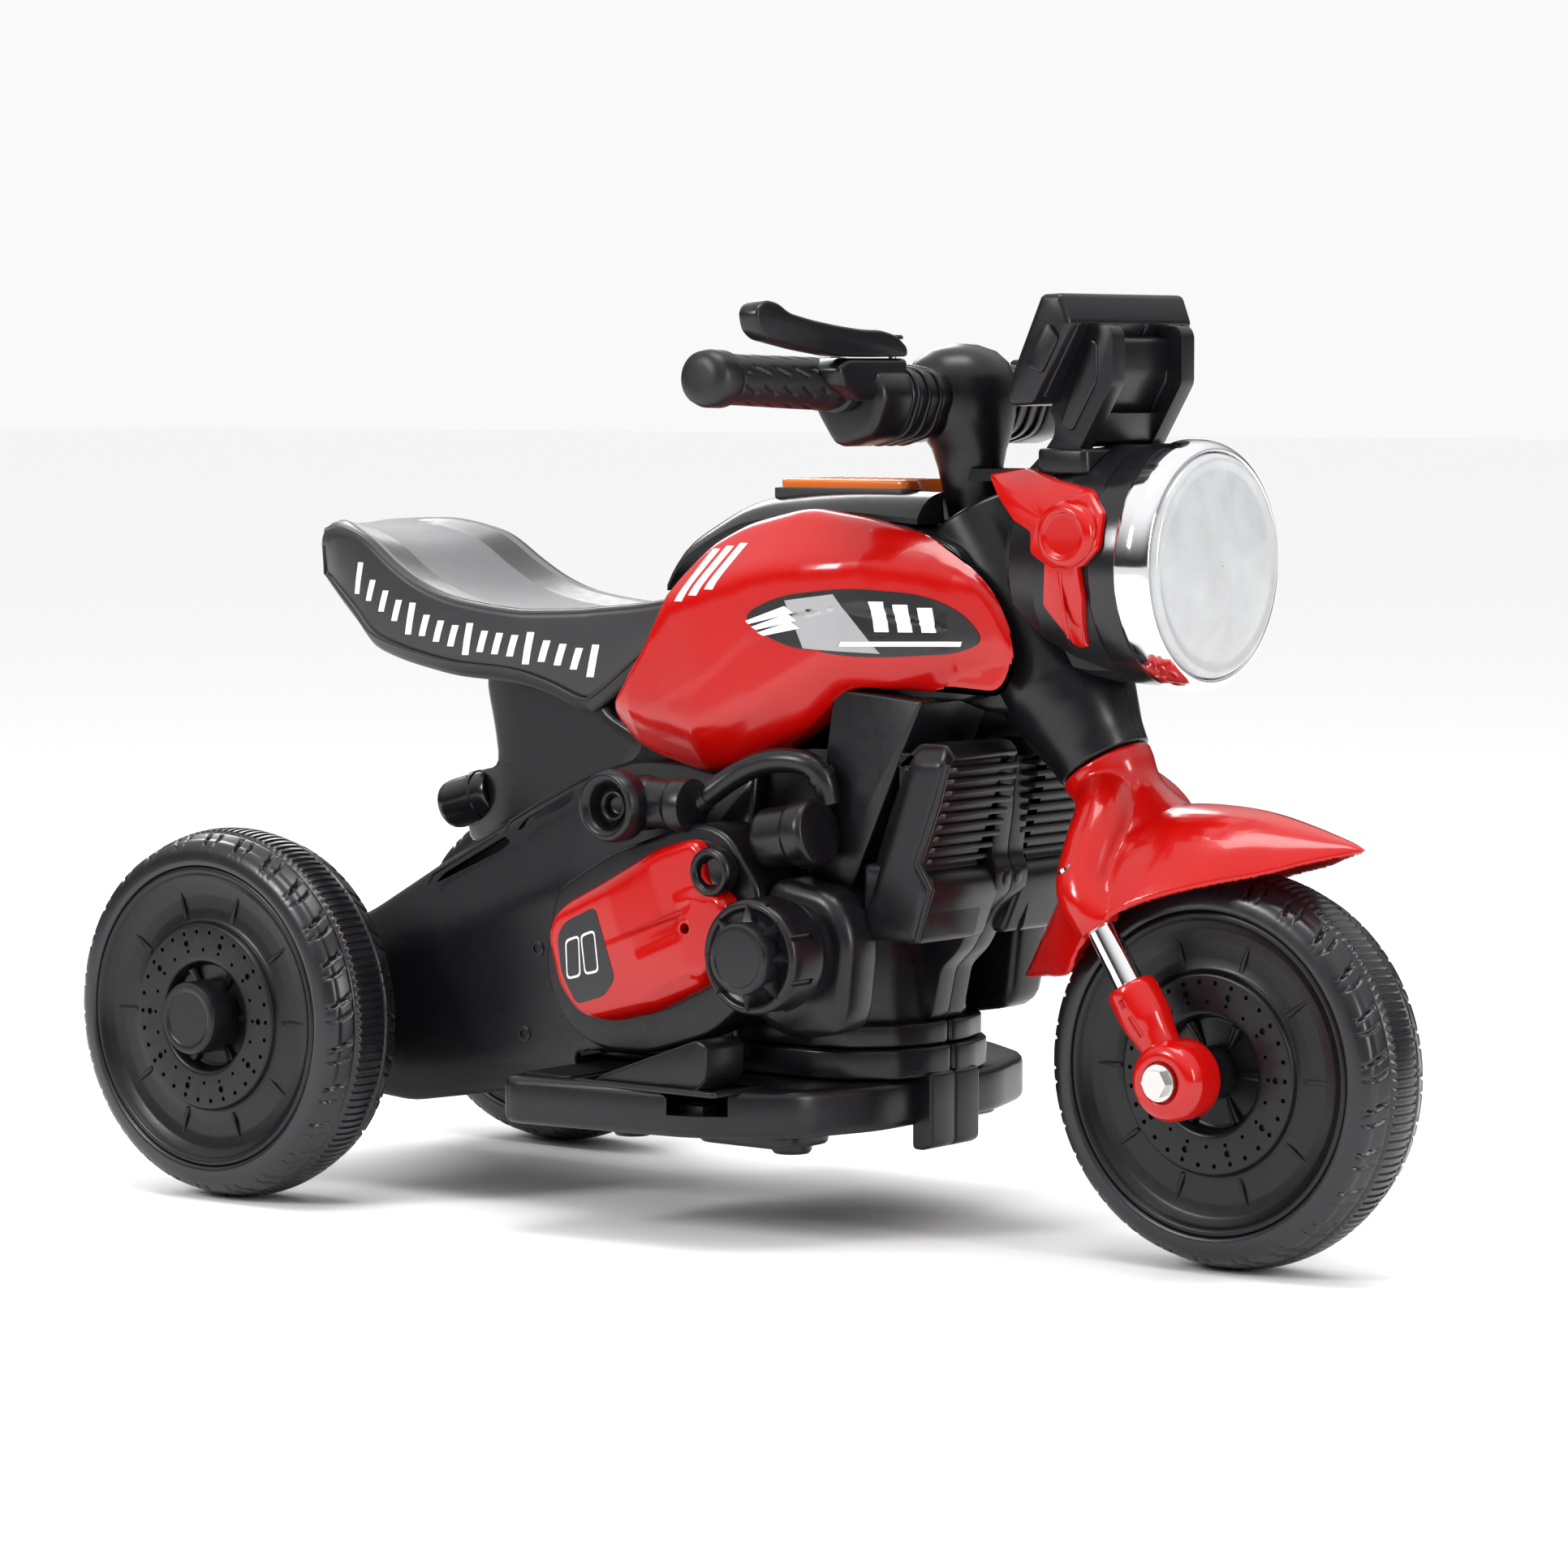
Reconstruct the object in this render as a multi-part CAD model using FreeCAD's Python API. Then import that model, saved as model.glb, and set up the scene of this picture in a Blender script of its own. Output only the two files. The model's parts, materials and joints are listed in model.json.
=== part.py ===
import FreeCAD, Part
import math
import os

# A battery ride-on motorcycle with three wheels, for a small child.
# Millimetres.  +X is forward, +Y is the rider's left, +Z is up.
# The origin is the middle of the footprint, on the floor.

Vector = FreeCAD.Vector

# ---------------------------------------------------------------- driving dimensions

WHEEL_RADIUS = 104.0
WHEEL_BASE = 577.0
TRACK = 281.4
TYRE_HALF_WIDTH = 28.6
RIM_RADIUS = 84.0
RAKE_DEG = 32.5
COLLAR_X = 206.4
COLLAR_Z = 257.8
FORK_HALF_SPACING = 54.0
AXLE_RADIUS = 5.0
RUNNING_CLEARANCE = 0.06
PART_GAP = 0.3
WALL = 3.0
HEADLIGHT_Z = 363.4
GRIP_END_Y = 188.0
PLATFORM_TOP = 86.0
PLATFORM_BOTTOM = 60.0
TREAD_PAD_RISE = 1.0
GEAR_MODULE = 1.0
PINION_TEETH = 12
OUTPUT_TEETH = 48
PRESSURE_ANGLE_DEG = 20.0

# ---------------------------------------------------------------- worked-out places

REAR_X = -WHEEL_BASE / 2
FRONT_X = WHEEL_BASE / 2
WHEEL_Y = TRACK / 2
RUNNING_BORE = AXLE_RADIUS + RUNNING_CLEARANCE
STEER_UP = Vector(-math.sin(math.radians(RAKE_DEG)), 0, math.cos(math.radians(RAKE_DEG)))
COLLAR = Vector(COLLAR_X, 0, COLLAR_Z)
Y_AXIS = Vector(0, 1, 0)
X_AXIS = Vector(1, 0, 0)
Z_AXIS = Vector(0, 0, 1)
GEAR_DISTANCE = GEAR_MODULE * (OUTPUT_TEETH + PINION_TEETH) / 2 + 0.12
PINION_ANGLE = math.radians(22.5)
PINION_X = REAR_X + GEAR_DISTANCE * math.cos(PINION_ANGLE)
PINION_Z = WHEEL_RADIUS + GEAR_DISTANCE * math.sin(PINION_ANGLE)


# ---------------------------------------------------------------- helpers

def up_steering(distance):
    """A point on the steering axis, so far above the collar's lower edge."""
    return COLLAR + STEER_UP * distance


def rounded_wire(points, corner):
    """A closed wire of straight runs joined by tangent arcs of at most the corner radius."""
    starts, middles, ends = [], [], []
    count = len(points)
    for i in range(count):
        here, before, after = points[i], points[i - 1], points[(i + 1) % count]
        back, ahead = before - here, after - here
        back_length, ahead_length = back.Length, ahead.Length
        back.normalize()
        ahead.normalize()
        half_angle = back.getAngle(ahead) / 2
        limit = 0.45 * min(back_length, ahead_length)
        trim = min(limit, corner / math.tan(half_angle))
        radius = trim * math.tan(half_angle)
        inward = (back + ahead).normalize()
        centre_distance = radius / math.sin(half_angle)
        starts.append(here + back * trim)
        middles.append(here + inward * (centre_distance - radius))
        ends.append(here + ahead * trim)
    edges = []
    for i in range(count):
        edges.append(Part.Arc(starts[i], middles[i], ends[i]).toShape())
        edges.append(Part.LineSegment(ends[i], starts[(i + 1) % count]).toShape())
    return Part.Wire(edges)


def side_face(outline, y, corner=0.0):
    """A flat face in a plane of constant y, from (x, z) points."""
    points = [Vector(x, y, z) for x, z in outline]
    if corner:
        return Part.Face(rounded_wire(points, corner))
    return Part.Face(Part.makePolygon(points + points[:1]))


def slab(outline, y_low, y_high, corner=0.0, inset=0.0):
    """The outline swept from y_low to y_high, made smaller all round by inset."""
    face = side_face(outline, y_low, corner)
    if inset:
        face = face.makeOffset2D(-inset)
    return face.extrude(Vector(0, y_high - y_low, 0))


def plate(outline, z_low, z_high, corner=0.0, inset=0.0):
    """An (x, y) outline swept from z_low to z_high."""
    points = [Vector(x, y, z_low) for x, y in outline]
    wire = rounded_wire(points, corner) if corner else Part.makePolygon(points + points[:1])
    face = Part.Face(wire)
    if inset:
        face = face.makeOffset2D(-inset)
    return face.extrude(Vector(0, 0, z_high - z_low))


def box(x_low, x_high, y_low, y_high, z_low, z_high):
    return Part.makeBox(x_high - x_low, y_high - y_low, z_high - z_low, Vector(x_low, y_low, z_low))


def rod(start, end, radius):
    along = end - start
    return Part.makeCylinder(radius, along.Length, start, along)


def tube(start, end, outer, inner):
    return rod(start, end, outer).cut(rod(start, end, inner))


def lathe(profile, origin, axis):
    """Turns a closed (radius, distance along the axis) profile round the axis."""
    points = [Vector(r, 0, s) for r, s in profile]
    face = Part.Face(Part.makePolygon(points + points[:1]))
    solid = face.revolve(Vector(0, 0, 0), Z_AXIS, 360)
    solid.Placement = FreeCAD.Placement(origin, FreeCAD.Rotation(Z_AXIS, axis))
    return solid


def joined(shapes):
    """One solid from shapes that overlap."""
    return shapes[0].multiFuse(shapes[1:]).removeSplitter()


def cut_all(shape, tools):
    for tool in tools:
        shape = shape.cut(tool)
    return shape


def mirrored(shape):
    return shape.mirror(Vector(0, 0, 0), Y_AXIS)


def both_sides(shape):
    return Part.makeCompound([shape, mirrored(shape)])


def bent_rod(points, radius):
    """A round rod along straight runs joined by large tangent arcs."""
    edges = []
    here = points[0]
    for i in range(1, len(points) - 1):
        back, ahead = points[i - 1] - points[i], points[i + 1] - points[i]
        trim = 0.45 * min(back.Length, ahead.Length)
        back.normalize()
        ahead.normalize()
        half_angle = back.getAngle(ahead) / 2
        bend = trim * math.tan(half_angle)
        inward = (back + ahead).normalize()
        start, end = points[i] + back * trim, points[i] + ahead * trim
        middle = points[i] + inward * (bend / math.sin(half_angle) - bend)
        edges.append(Part.LineSegment(here, start).toShape())
        edges.append(Part.Arc(start, middle, end).toShape())
        here = end
    edges.append(Part.LineSegment(here, points[-1]).toShape())
    path = Part.Wire(edges)
    ring = Part.Wire(Part.makeCircle(radius, points[0], points[1] - points[0]))
    return path.makePipeShell([ring], True, False)


# ---------------------------------------------------------------- outlines, (x, z)

ARM = [(-318, 78), (-318, 122), (-296, 142), (-254, 158), (-201, 190), (-144, 220), (-108, 239),
       (-73, 251), (-22, 254), (20, 254), (20, 92), (-91, 92), (-91, 68), (-156, 62), (-229, 50),
       (-300, 56)]
CORE = [(-91, 86.6), (-91, 230), (-40, 262), (100, 266), (124, 262), (109, 242), (99, 207),
        (92, 168), (97, 120), (100, 86.6)]
NOSE = [(80, 262), (151, 262), (148.5, 230), (145, 208), (142, 195), (134, 177), (121, 155),
        (108, 145), (106, 118), (106, 96), (109, 48), (101, 48), (100, 86.6), (80, 90)]
DOWN_TUBE = [(74, 296), (54, 165), (74, 165), (132, 291)]
POST = [(-191, 289), (-182, 262), (-178, 239), (-163, 205), (-90, 225), (-62, 262), (-92, 276),
        (-104, 322), (-186, 322)]
TANK_CORE = [(-64, 280), (-56, 262), (-20, 252), (30, 258), (84, 290), (150, 291), (172, 305),
             (160, 345), (140, 372), (108, 383), (50, 387), (-8, 367), (-30, 345), (-46, 315)]
GUSSET = [(96, 362), (120, 384), (160, 330), (196, 300), (192, 284), (150, 284), (110, 296)]
TANK_COVER = [(-80, 280), (-69, 262), (-50, 254), (-13, 246), (19, 253), (51, 270), (84, 297),
              (138, 295), (172, 294), (181, 310), (178, 328), (168, 347), (152, 362), (126, 377),
              (89, 386), (49, 391), (8, 382), (-15, 370), (-31, 352), (-47, 318), (-64, 298)]
TANK_PANEL = [(-52, 352), (-30, 368), (2, 384), (50, 391.5), (116, 388), (116, 403), (21, 400),
              (-4, 395), (-27, 383), (-46, 371)]
SEAT = [(-336, 372), (-320, 378), (-280, 376), (-256, 373), (-228, 352), (-197, 339), (-152, 331),
        (-108, 332), (-50, 339), (-32, 344), (-43, 320), (-69, 299), (-94, 280), (-104, 277),
        (-133, 287), (-187, 294), (-224, 300), (-255, 309), (-274, 324), (-292, 345), (-322, 356)]
ENGINE_COVER = [(-86, 159), (-78, 175), (-49, 190), (-15, 209), (14, 216), (22, 205), (23, 194),
                (40, 183), (32, 154), (23, 138), (-15, 120), (-44, 113), (-64, 116), (-78, 131)]
ENGINE_CASE = [(-99, 140), (-91, 118), (-79, 105), (-56, 96), (-22, 97), (20, 110), (45, 130),
               (52, 190), (30, 219), (10, 224), (-50, 205), (-90, 182)]
SHROUD = [(127, 266), (112, 242), (101.5, 207), (94, 168), (136, 164), (147, 195), (139, 205),
          (149, 231), (157, 261), (150, 268)]
PEDAL = [(-30, 79.5), (-31, 86), (-24, 90), (40, 113), (47, 110), (46, 92), (40, 86), (-22, 78.5)]

FRAME_REGIONS = [(ARM, 80.0), (CORE, 62.0), (POST, 50.0), (TANK_CORE, 45.0)]
SOLID_REGIONS = [(NOSE, 21.7), (DOWN_TUBE, 60.0), (GUSSET, 30.0)]


# ---------------------------------------------------------------- body shells and platform

def head_tube():
    profile = [(12, 0.4), (25.5, 0.4), (27, 12), (33, 32), (36, 48), (36, 150), (12, 150)]
    return lathe(profile, COLLAR, STEER_UP)


def body_shell_right(stay_clear):
    """The right half of the frame moulding: hollow regions and solid ribs, open at the middle."""
    seam = -0.15
    outer = [slab(outline, -width, seam, 5) for outline, width in FRAME_REGIONS]
    outer += [slab(outline, -width, seam) for outline, width in SOLID_REGIONS]
    right_half = box(-400, 400, -200, seam, 0, 600)
    outer.append(head_tube().common(right_half))
    hollow = [slab(outline, WALL - width, seam, 5, WALL) for outline, width in FRAME_REGIONS]
    bearing = rod(Vector(REAR_X, -58, WHEEL_RADIUS), Vector(REAR_X, seam, WHEEL_RADIUS), 12)
    shell = joined(outer)
    shell = cut_all(shell, hollow)
    shell = shell.fuse(bearing.fuse(box(REAR_X - 2, REAR_X + 2, -58, seam, 56, 95)))
    shell = shell.fuse(head_tube().common(right_half))
    return cut_all(shell, stay_clear)


def frame_cuts():
    """Bores and windows that both halves of the frame moulding have."""
    axle = rod(Vector(REAR_X, -90, WHEEL_RADIUS), Vector(REAR_X, 90, WHEEL_RADIUS), AXLE_RADIUS)
    steering = rod(up_steering(-10), up_steering(160), 12)
    stem_room = rod(up_steering(150), up_steering(230), 22)
    button_room = box(6.6, 94.4, -25, 25, 380, 410)
    return [axle, steering, stem_room, button_room]


def base_platform():
    """The footboards: a shallow tray open underneath, a pocket for the pedal and a raised tread pad."""
    side = [(-86, 152), (34, 137), (82, 104), (100, 52)]
    outline = side + [(x, -y) for x, y in reversed(side)]
    outer = plate(outline, PLATFORM_BOTTOM, PLATFORM_TOP, 14)
    cavity = plate(outline, PLATFORM_BOTTOM - 1, PLATFORM_TOP - WALL, 14, WALL)
    tray = outer.cut(cavity)
    pocket_wall = box(-39, 55, -142, -98, 69, PLATFORM_TOP - 0.5)
    ribs = [box(-80, 84, y - 1.5, y + 1.5, 62, PLATFORM_TOP - 1) for y in (-70, 70)]
    ribs.append(box(-60, -57, -146, 146, 62, PLATFORM_TOP - 1))
    feet = [rod(Vector(x, y, 47), Vector(x, y, PLATFORM_TOP - 1), 11)
            for x in (-58, 52) for y in (-70, 70)]
    tread_pad = box(-72, 20, 117, 136, PLATFORM_TOP - 1, PLATFORM_TOP + TREAD_PAD_RISE)
    tray = joined([tray, pocket_wall, tread_pad] + ribs + feet)
    pocket = box(-36, 52, -138.5, -101.5, 72, PLATFORM_TOP + 1)
    pin_bore = rod(Vector(-26, -145, 82), Vector(-26, -95, 82), 2.0)
    return tray.cut(pocket).cut(pin_bore)


def battery_tray():
    """A box inside the frame that holds the battery."""
    outer = box(-72, 34, -41, 41, 90, 132)
    return outer.cut(box(-70, 32, -39, 39, 92, 133))


def battery():
    cell_block = box(-69.5, 31.5, -38.5, 38.5, 92, 140)
    terminals = [box(-60, -54, y - 3, y + 3, 139, 146) for y in (-20, 20)]
    return joined([cell_block] + terminals)


def control_board():
    board = box(-30, 44, -32, 32, 214, 215.6)
    relay = box(-20, -4, -20, 0, 215, 228)
    chip = box(10, 24, -8, 8, 215, 218)
    plug = box(30, 42, -28, 12, 215, 223)
    return joined([board, relay, chip, plug])


def charging_socket():
    """A round socket in the left wall of the seat post, with a blind hole for the plug."""
    profile = [(0, -7), (4.2, -7), (4.2, 2), (9, 2), (9, 0.1), (7, 0.1), (7, -14), (0, -14)]
    return lathe(profile, Vector(-150, 50.0, 262), Y_AXIS)


# ---------------------------------------------------------------- covers

def rounded_cover(outline, y_inner, y_outer, corner, edge_radius):
    """A cover with a soft outer edge, hollow on its inner side."""
    solid = slab(outline, y_inner, y_outer, corner)
    rim = [edge for edge in solid.Edges
           if all(abs(vertex.Point.y - y_outer) < 0.01 for vertex in edge.Vertexes)]
    solid = solid.makeFillet(edge_radius, rim)
    inner_end = y_outer + WALL if y_outer < 0 else y_outer - WALL
    hollow = slab(outline, y_inner, inner_end, corner, WALL + edge_radius * 0.4)
    return solid.cut(hollow)


def tank_cover_right():
    """The tank's side cover, narrower towards its front and rear ends."""
    cover = rounded_cover(TANK_COVER, -45.4, -78.0, 8.0, 7.0)
    plan = [(190, -40), (190, -46), (165, -50), (140, -55), (105, -72), (66, -78.5), (-10, -78.5),
            (-90, -66), (-90, -40)]
    return cover.common(plate(plan, 230, 400))


def tank_top_panel():
    panel = slab(TANK_PANEL, -45, 45, 3)
    pocket = box(7 - PART_GAP, 94, -24 - PART_GAP, 24 + PART_GAP, 393.5, 410)
    stem_room = rod(up_steering(140), up_steering(190), 22)
    return panel.cut(pocket).cut(stem_room)


def horn_button():
    button = plate([(7, -24), (93.5, -24), (93.5, 24), (7, 24)], 397, 406, 6)
    stem_room = rod(up_steering(140), up_steering(190), 22)
    return button.cut(stem_room)


def seat():
    """The seat moulding: a crowned saddle with side skirts, open underneath."""
    half_plan = [(-340, 0), (-330, 38), (-300, 62), (-200, 66), (-120, 58), (-28, 50)]
    plan = half_plan + [(x, -y) for x, y in reversed(half_plan[1:])]
    saddle = slab(SEAT, -68, 68, 6).common(plate(plan, 270, 390, 18))
    inside = slab([(x, z) for x, z in SEAT[:11]] + [(-30, 250), (-330, 250)], -70, 70, 0, WALL)
    return saddle.cut(inside.common(plate(plan, 240, 390, 18, WALL)))


def engine_case_right():
    case = slab(ENGINE_CASE, -98, -62.3, 8)
    drum_room = rod(Vector(70, -110, 158), Vector(70, -60, 158), 28.4)
    arm_room = box(-110, 20.3, -80.3, -60, 80, 230)
    return case.cut(drum_room).cut(arm_room)


def engine_cover_right():
    return rounded_cover(ENGINE_COVER, -98.2, -112.0, 6.0, 5.0)


def side_knob_right():
    """A star-shaped knob on the end of a drum."""
    drum = rod(Vector(70, -123, 158), Vector(70, -62.3, 158), 27)
    disc = rod(Vector(70, -135, 158), Vector(70, -122, 158), 31.5)
    notches = []
    for i in range(8):
        angle = math.radians(22.5 + 45 * i)
        x, z = 70 + 39 * math.cos(angle), 158 + 39 * math.sin(angle)
        notches.append(rod(Vector(x, -136, z), Vector(x, -125, z), 11))
    cap = rod(Vector(70, -140, 158), Vector(70, -134, 158), 19)
    return joined([cut_all(disc, notches), drum, cap])


def cylinder_shroud_right():
    shroud = slab(SHROUD, -75, -22)
    grooves = []
    for i in range(9):
        z = 205 + 6.5 * i
        grooves.append(slab([(128, z), (160, z + 4), (160, z + 7), (128, z + 3)], -66, -28))
    return cut_all(shroud, grooves)


def reservoir_right():
    cup = lathe([(0, 0), (19, 0), (19, 38), (12, 38), (12, 30), (0, 30)],
                Vector(-38, -80.2, 231), Y_AXIS * -1)
    barrel = rod(Vector(-38, -90, 233), Vector(8, -80, 233), 8)
    return cup.fuse(barrel).cut(rod(Vector(-38, -110, 231), Vector(-38, -119, 231), 12))


def intake_right():
    horn = lathe([(0, 0), (9, 0), (9, 26), (12.5, 38), (12.5, 48), (8, 48), (8, 40), (0, 40)],
                 Vector(31, -62.3, 228), Y_AXIS * -1)
    return horn


def side_pipe_right():
    points = [Vector(16, -80, 246), Vector(34, -76, 258), Vector(60, -72, 250), Vector(66, -70, 214)]
    return bent_rod(points, 8)


def tail_pipe_right():
    pipe = tube(Vector(-183, -34, 228), Vector(-222, -34, 217), 14, 11)
    slash = slab([(-240, 190), (-204, 190), (-214, 250), (-240, 250)], -60, 0)
    return pipe.cut(slash).cut(box(-182, -150, -60, 0, 180, 260))


# ---------------------------------------------------------------- wheels

def tyre(x, y, z):
    """A ring with a crowned tread and round shoulders."""
    edge = RIM_RADIUS + 4
    shoulder_radius, shoulder_y = 0.93 * WHEEL_RADIUS, 23.7
    inner_low, inner_high = Vector(RIM_RADIUS, -27, 0), Vector(RIM_RADIUS, 27, 0)
    side_low, side_high = Vector(edge, -TYRE_HALF_WIDTH, 0), Vector(edge, TYRE_HALF_WIDTH, 0)
    turn_low, turn_high = Vector(93.2, -27.2, 0), Vector(93.2, 27.2, 0)
    top_low, top_high = Vector(shoulder_radius, -shoulder_y, 0), Vector(shoulder_radius, shoulder_y, 0)
    edges = [Part.LineSegment(inner_high, inner_low).toShape(),
             Part.LineSegment(inner_low, side_low).toShape(),
             Part.Arc(side_low, turn_low, top_low).toShape(),
             Part.Arc(top_low, Vector(WHEEL_RADIUS, 0, 0), top_high).toShape(),
             Part.Arc(top_high, turn_high, side_high).toShape(),
             Part.LineSegment(side_high, inner_high).toShape()]
    ring = Part.Face(Part.Wire(edges)).revolve(Vector(0, 0, 0), Y_AXIS, 360)
    ring.translate(Vector(x, y, z))
    return ring


def hub_half(origin, outward, barrel_end):
    """Half of a moulded wheel centre: a dished disc, a rim and a barrel, open at the middle."""
    barrel = 14.0
    profile = [(RUNNING_BORE, 0.1), (barrel, 0.1), (barrel, 13), (78, 20), (81, 0.1),
               (RIM_RADIUS, 0.1), (RIM_RADIUS, 26.5), (54, 25), (52, 27), (31, 27), (29, 18),
               (barrel, 18), (barrel, barrel_end), (RUNNING_BORE, barrel_end)]
    return lathe(profile, origin, outward)


def wheel_hub(x, y, z, right_end, left_end):
    centre = Vector(x, y, z)
    return Part.makeCompound([hub_half(centre, Y_AXIS * -1, right_end), hub_half(centre, Y_AXIS, left_end)])


def hub_cap(side):
    """A round cap over the axle nut, pressed into the wheel's recess."""
    profile = [(18, 0), (20.4, 0), (20.4, 20.6), (18.6, 22.4), (0, 22.4), (0, 19), (18, 19)]
    return lathe(profile, Vector(REAR_X, side * (WHEEL_Y + 18.3), WHEEL_RADIUS), Y_AXIS * side)


def rear_axle():
    return rod(Vector(REAR_X, -173, WHEEL_RADIUS), Vector(REAR_X, 173, WHEEL_RADIUS), AXLE_RADIUS)


def axle_hardware():
    """Two nuts on the axle's ends and the spacer tube at the left wheel."""
    nuts = []
    for side in (-1, 1):
        y_face = side * (WHEEL_Y + 21.6)
        start, end = Vector(REAR_X, y_face, WHEEL_RADIUS), Vector(REAR_X, y_face + side * 7, WHEEL_RADIUS)
        nuts.append(hexagon(start, end, 8.5).cut(rod(start, end, AXLE_RADIUS)))
    spacer = tube(Vector(REAR_X, 80.2, WHEEL_RADIUS), Vector(REAR_X, 111.2, WHEEL_RADIUS), 10, AXLE_RADIUS)
    return Part.makeCompound(nuts + [spacer])


def hexagon(start, end, across):
    """A six-sided prism between two points that differ in y only."""
    points = []
    for i in range(7):
        angle = math.radians(60 * i)
        points.append(start + Vector(across * math.cos(angle), 0, across * math.sin(angle)))
    return Part.Face(Part.makePolygon(points)).extrude(end - start)


# ---------------------------------------------------------------- drive

def gear_outline(teeth, phase, thinning):
    """Points of an involute spur gear about the origin, in (x, z)."""
    pitch = GEAR_MODULE * teeth / 2
    base = pitch * math.cos(math.radians(PRESSURE_ANGLE_DEG))
    tip, root = pitch + 0.85 * GEAR_MODULE, pitch - 1.1 * GEAR_MODULE
    flank_roll = math.tan(math.radians(PRESSURE_ANGLE_DEG)) - math.radians(PRESSURE_ANGLE_DEG)
    half_tooth = math.pi / (2 * teeth) - thinning / pitch
    points = []
    for i in range(teeth):
        centre = phase + 2 * math.pi * i / teeth
        flank = []
        for radius in (root, max(base, root) + 0.02, pitch, tip):
            pressure = math.acos(min(1.0, base / radius))
            roll = math.tan(pressure) - pressure
            flank.append((radius, half_tooth + flank_roll - roll))
        for radius, half in flank:
            points.append((radius * math.cos(centre - half), radius * math.sin(centre - half)))
        for radius, half in reversed(flank):
            points.append((radius * math.cos(centre + half), radius * math.sin(centre + half)))
    return points


def gear_solid(teeth, phase, x, z, y_low, y_high):
    outline = [(x + px, z + pz) for px, pz in gear_outline(teeth, phase, 0.06)]
    return slab(outline, y_low, y_high)


def output_gear():
    """The gear on the driven wheel, with the sleeve that reaches the wheel."""
    gear = gear_solid(OUTPUT_TEETH, PINION_ANGLE, REAR_X, WHEEL_RADIUS, -72, -64)
    sleeve = rod(Vector(REAR_X, -111.9, WHEEL_RADIUS), Vector(REAR_X, -62.8, WHEEL_RADIUS), 10)
    bore = rod(Vector(REAR_X, -115, WHEEL_RADIUS), Vector(REAR_X, -60, WHEEL_RADIUS), RUNNING_BORE)
    return gear.fuse(sleeve).cut(bore)


def motor_pinion():
    """The small gear on the motor's shaft, with the shaft."""
    phase = PINION_ANGLE + math.pi + math.pi / PINION_TEETH
    gear = gear_solid(PINION_TEETH, phase, PINION_X, PINION_Z, -72.5, -63.5)
    shaft = rod(Vector(PINION_X, -72.5, PINION_Z), Vector(PINION_X, -54, PINION_Z), 2.0)
    return gear.fuse(shaft)


def gearbox_form(y_low, y_high, gear_radius, pinion_radius):
    """The outline round both gears, swept between two planes."""
    axle_low, axle_high = Vector(REAR_X, y_low, WHEEL_RADIUS), Vector(REAR_X, y_high, WHEEL_RADIUS)
    shaft_low, shaft_high = Vector(PINION_X, y_low, PINION_Z), Vector(PINION_X, y_high, PINION_Z)
    return rod(axle_low, axle_high, gear_radius).fuse(rod(shaft_low, shaft_high, pinion_radius))


def gearbox_housing():
    housing = gearbox_form(-76.8, -59, 29, 12).cut(gearbox_form(-73.4, -62, 26.4, 9.4))
    sleeve_hole = rod(Vector(REAR_X, -80, WHEEL_RADIUS), Vector(REAR_X, -70, WHEEL_RADIUS), 10.3)
    axle_hole = rod(Vector(REAR_X, -65, WHEEL_RADIUS), Vector(REAR_X, -55, WHEEL_RADIUS), AXLE_RADIUS)
    shaft_hole = rod(Vector(PINION_X, -65, PINION_Z), Vector(PINION_X, -55, PINION_Z), 2.05)
    return cut_all(housing, [sleeve_hole, axle_hole, shaft_hole])


def motor():
    can = rod(Vector(PINION_X, -58.8, PINION_Z), Vector(PINION_X, -20, PINION_Z), 13.8)
    bore = rod(Vector(PINION_X, -58.9, PINION_Z), Vector(PINION_X, -52, PINION_Z), 2.05)
    rear_boss = rod(Vector(PINION_X, -20, PINION_Z), Vector(PINION_X, -17, PINION_Z), 5)
    return joined([can, rear_boss]).cut(bore)


# ---------------------------------------------------------------- pedal

def foot_pedal():
    """A wedge hinged at the heel, with its toe end forward."""
    pedal = slab(PEDAL, -136.5, -103.5, 1.5)
    grip_lines = []
    for i in range(5):
        x, z = -12 + 11 * i, 94.5 + 3.95 * i
        grip_lines.append(box(x, x + 2, -132, -108, z, z + 6))
    hollow = slab(PEDAL, -133.5, -106.5, 0, WALL)
    pedal = cut_all(pedal, grip_lines)
    underside = slab([(-14, 70), (-14, 84), (36, 94), (40, 70)], -133.5, -106.5)
    pedal = pedal.cut(underside.common(hollow.fuse(box(-14, 40, -133.5, -106.5, 70, 88))))
    return pedal.cut(rod(Vector(-26, -140, 82), Vector(-26, -100, 82), 2.06))


def pedal_pin():
    return rod(Vector(-26, -141.5, 82), Vector(-26, -98.5, 82), 2.0)


def pedal_switch():
    return box(20, 36, -126, -114, 72, 76.2).fuse(box(26, 30, -122, -118, 76, 77.4))


# ---------------------------------------------------------------- steering parts

def steering_bushes():
    rings = []
    for low, high in ((1, 22), (128, 149)):
        rings.append(tube(up_steering(low), up_steering(high), 12, 8 + RUNNING_CLEARANCE))
    return Part.makeCompound(rings)


def steering_shaft():
    return rod(up_steering(-22), up_steering(176), 8)


def fork_point(distance, side):
    """A point on a fork leg's centre line, so far above the front axle."""
    return Vector(FRONT_X, side * FORK_HALF_SPACING, WHEEL_RADIUS) + STEER_UP * distance


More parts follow.
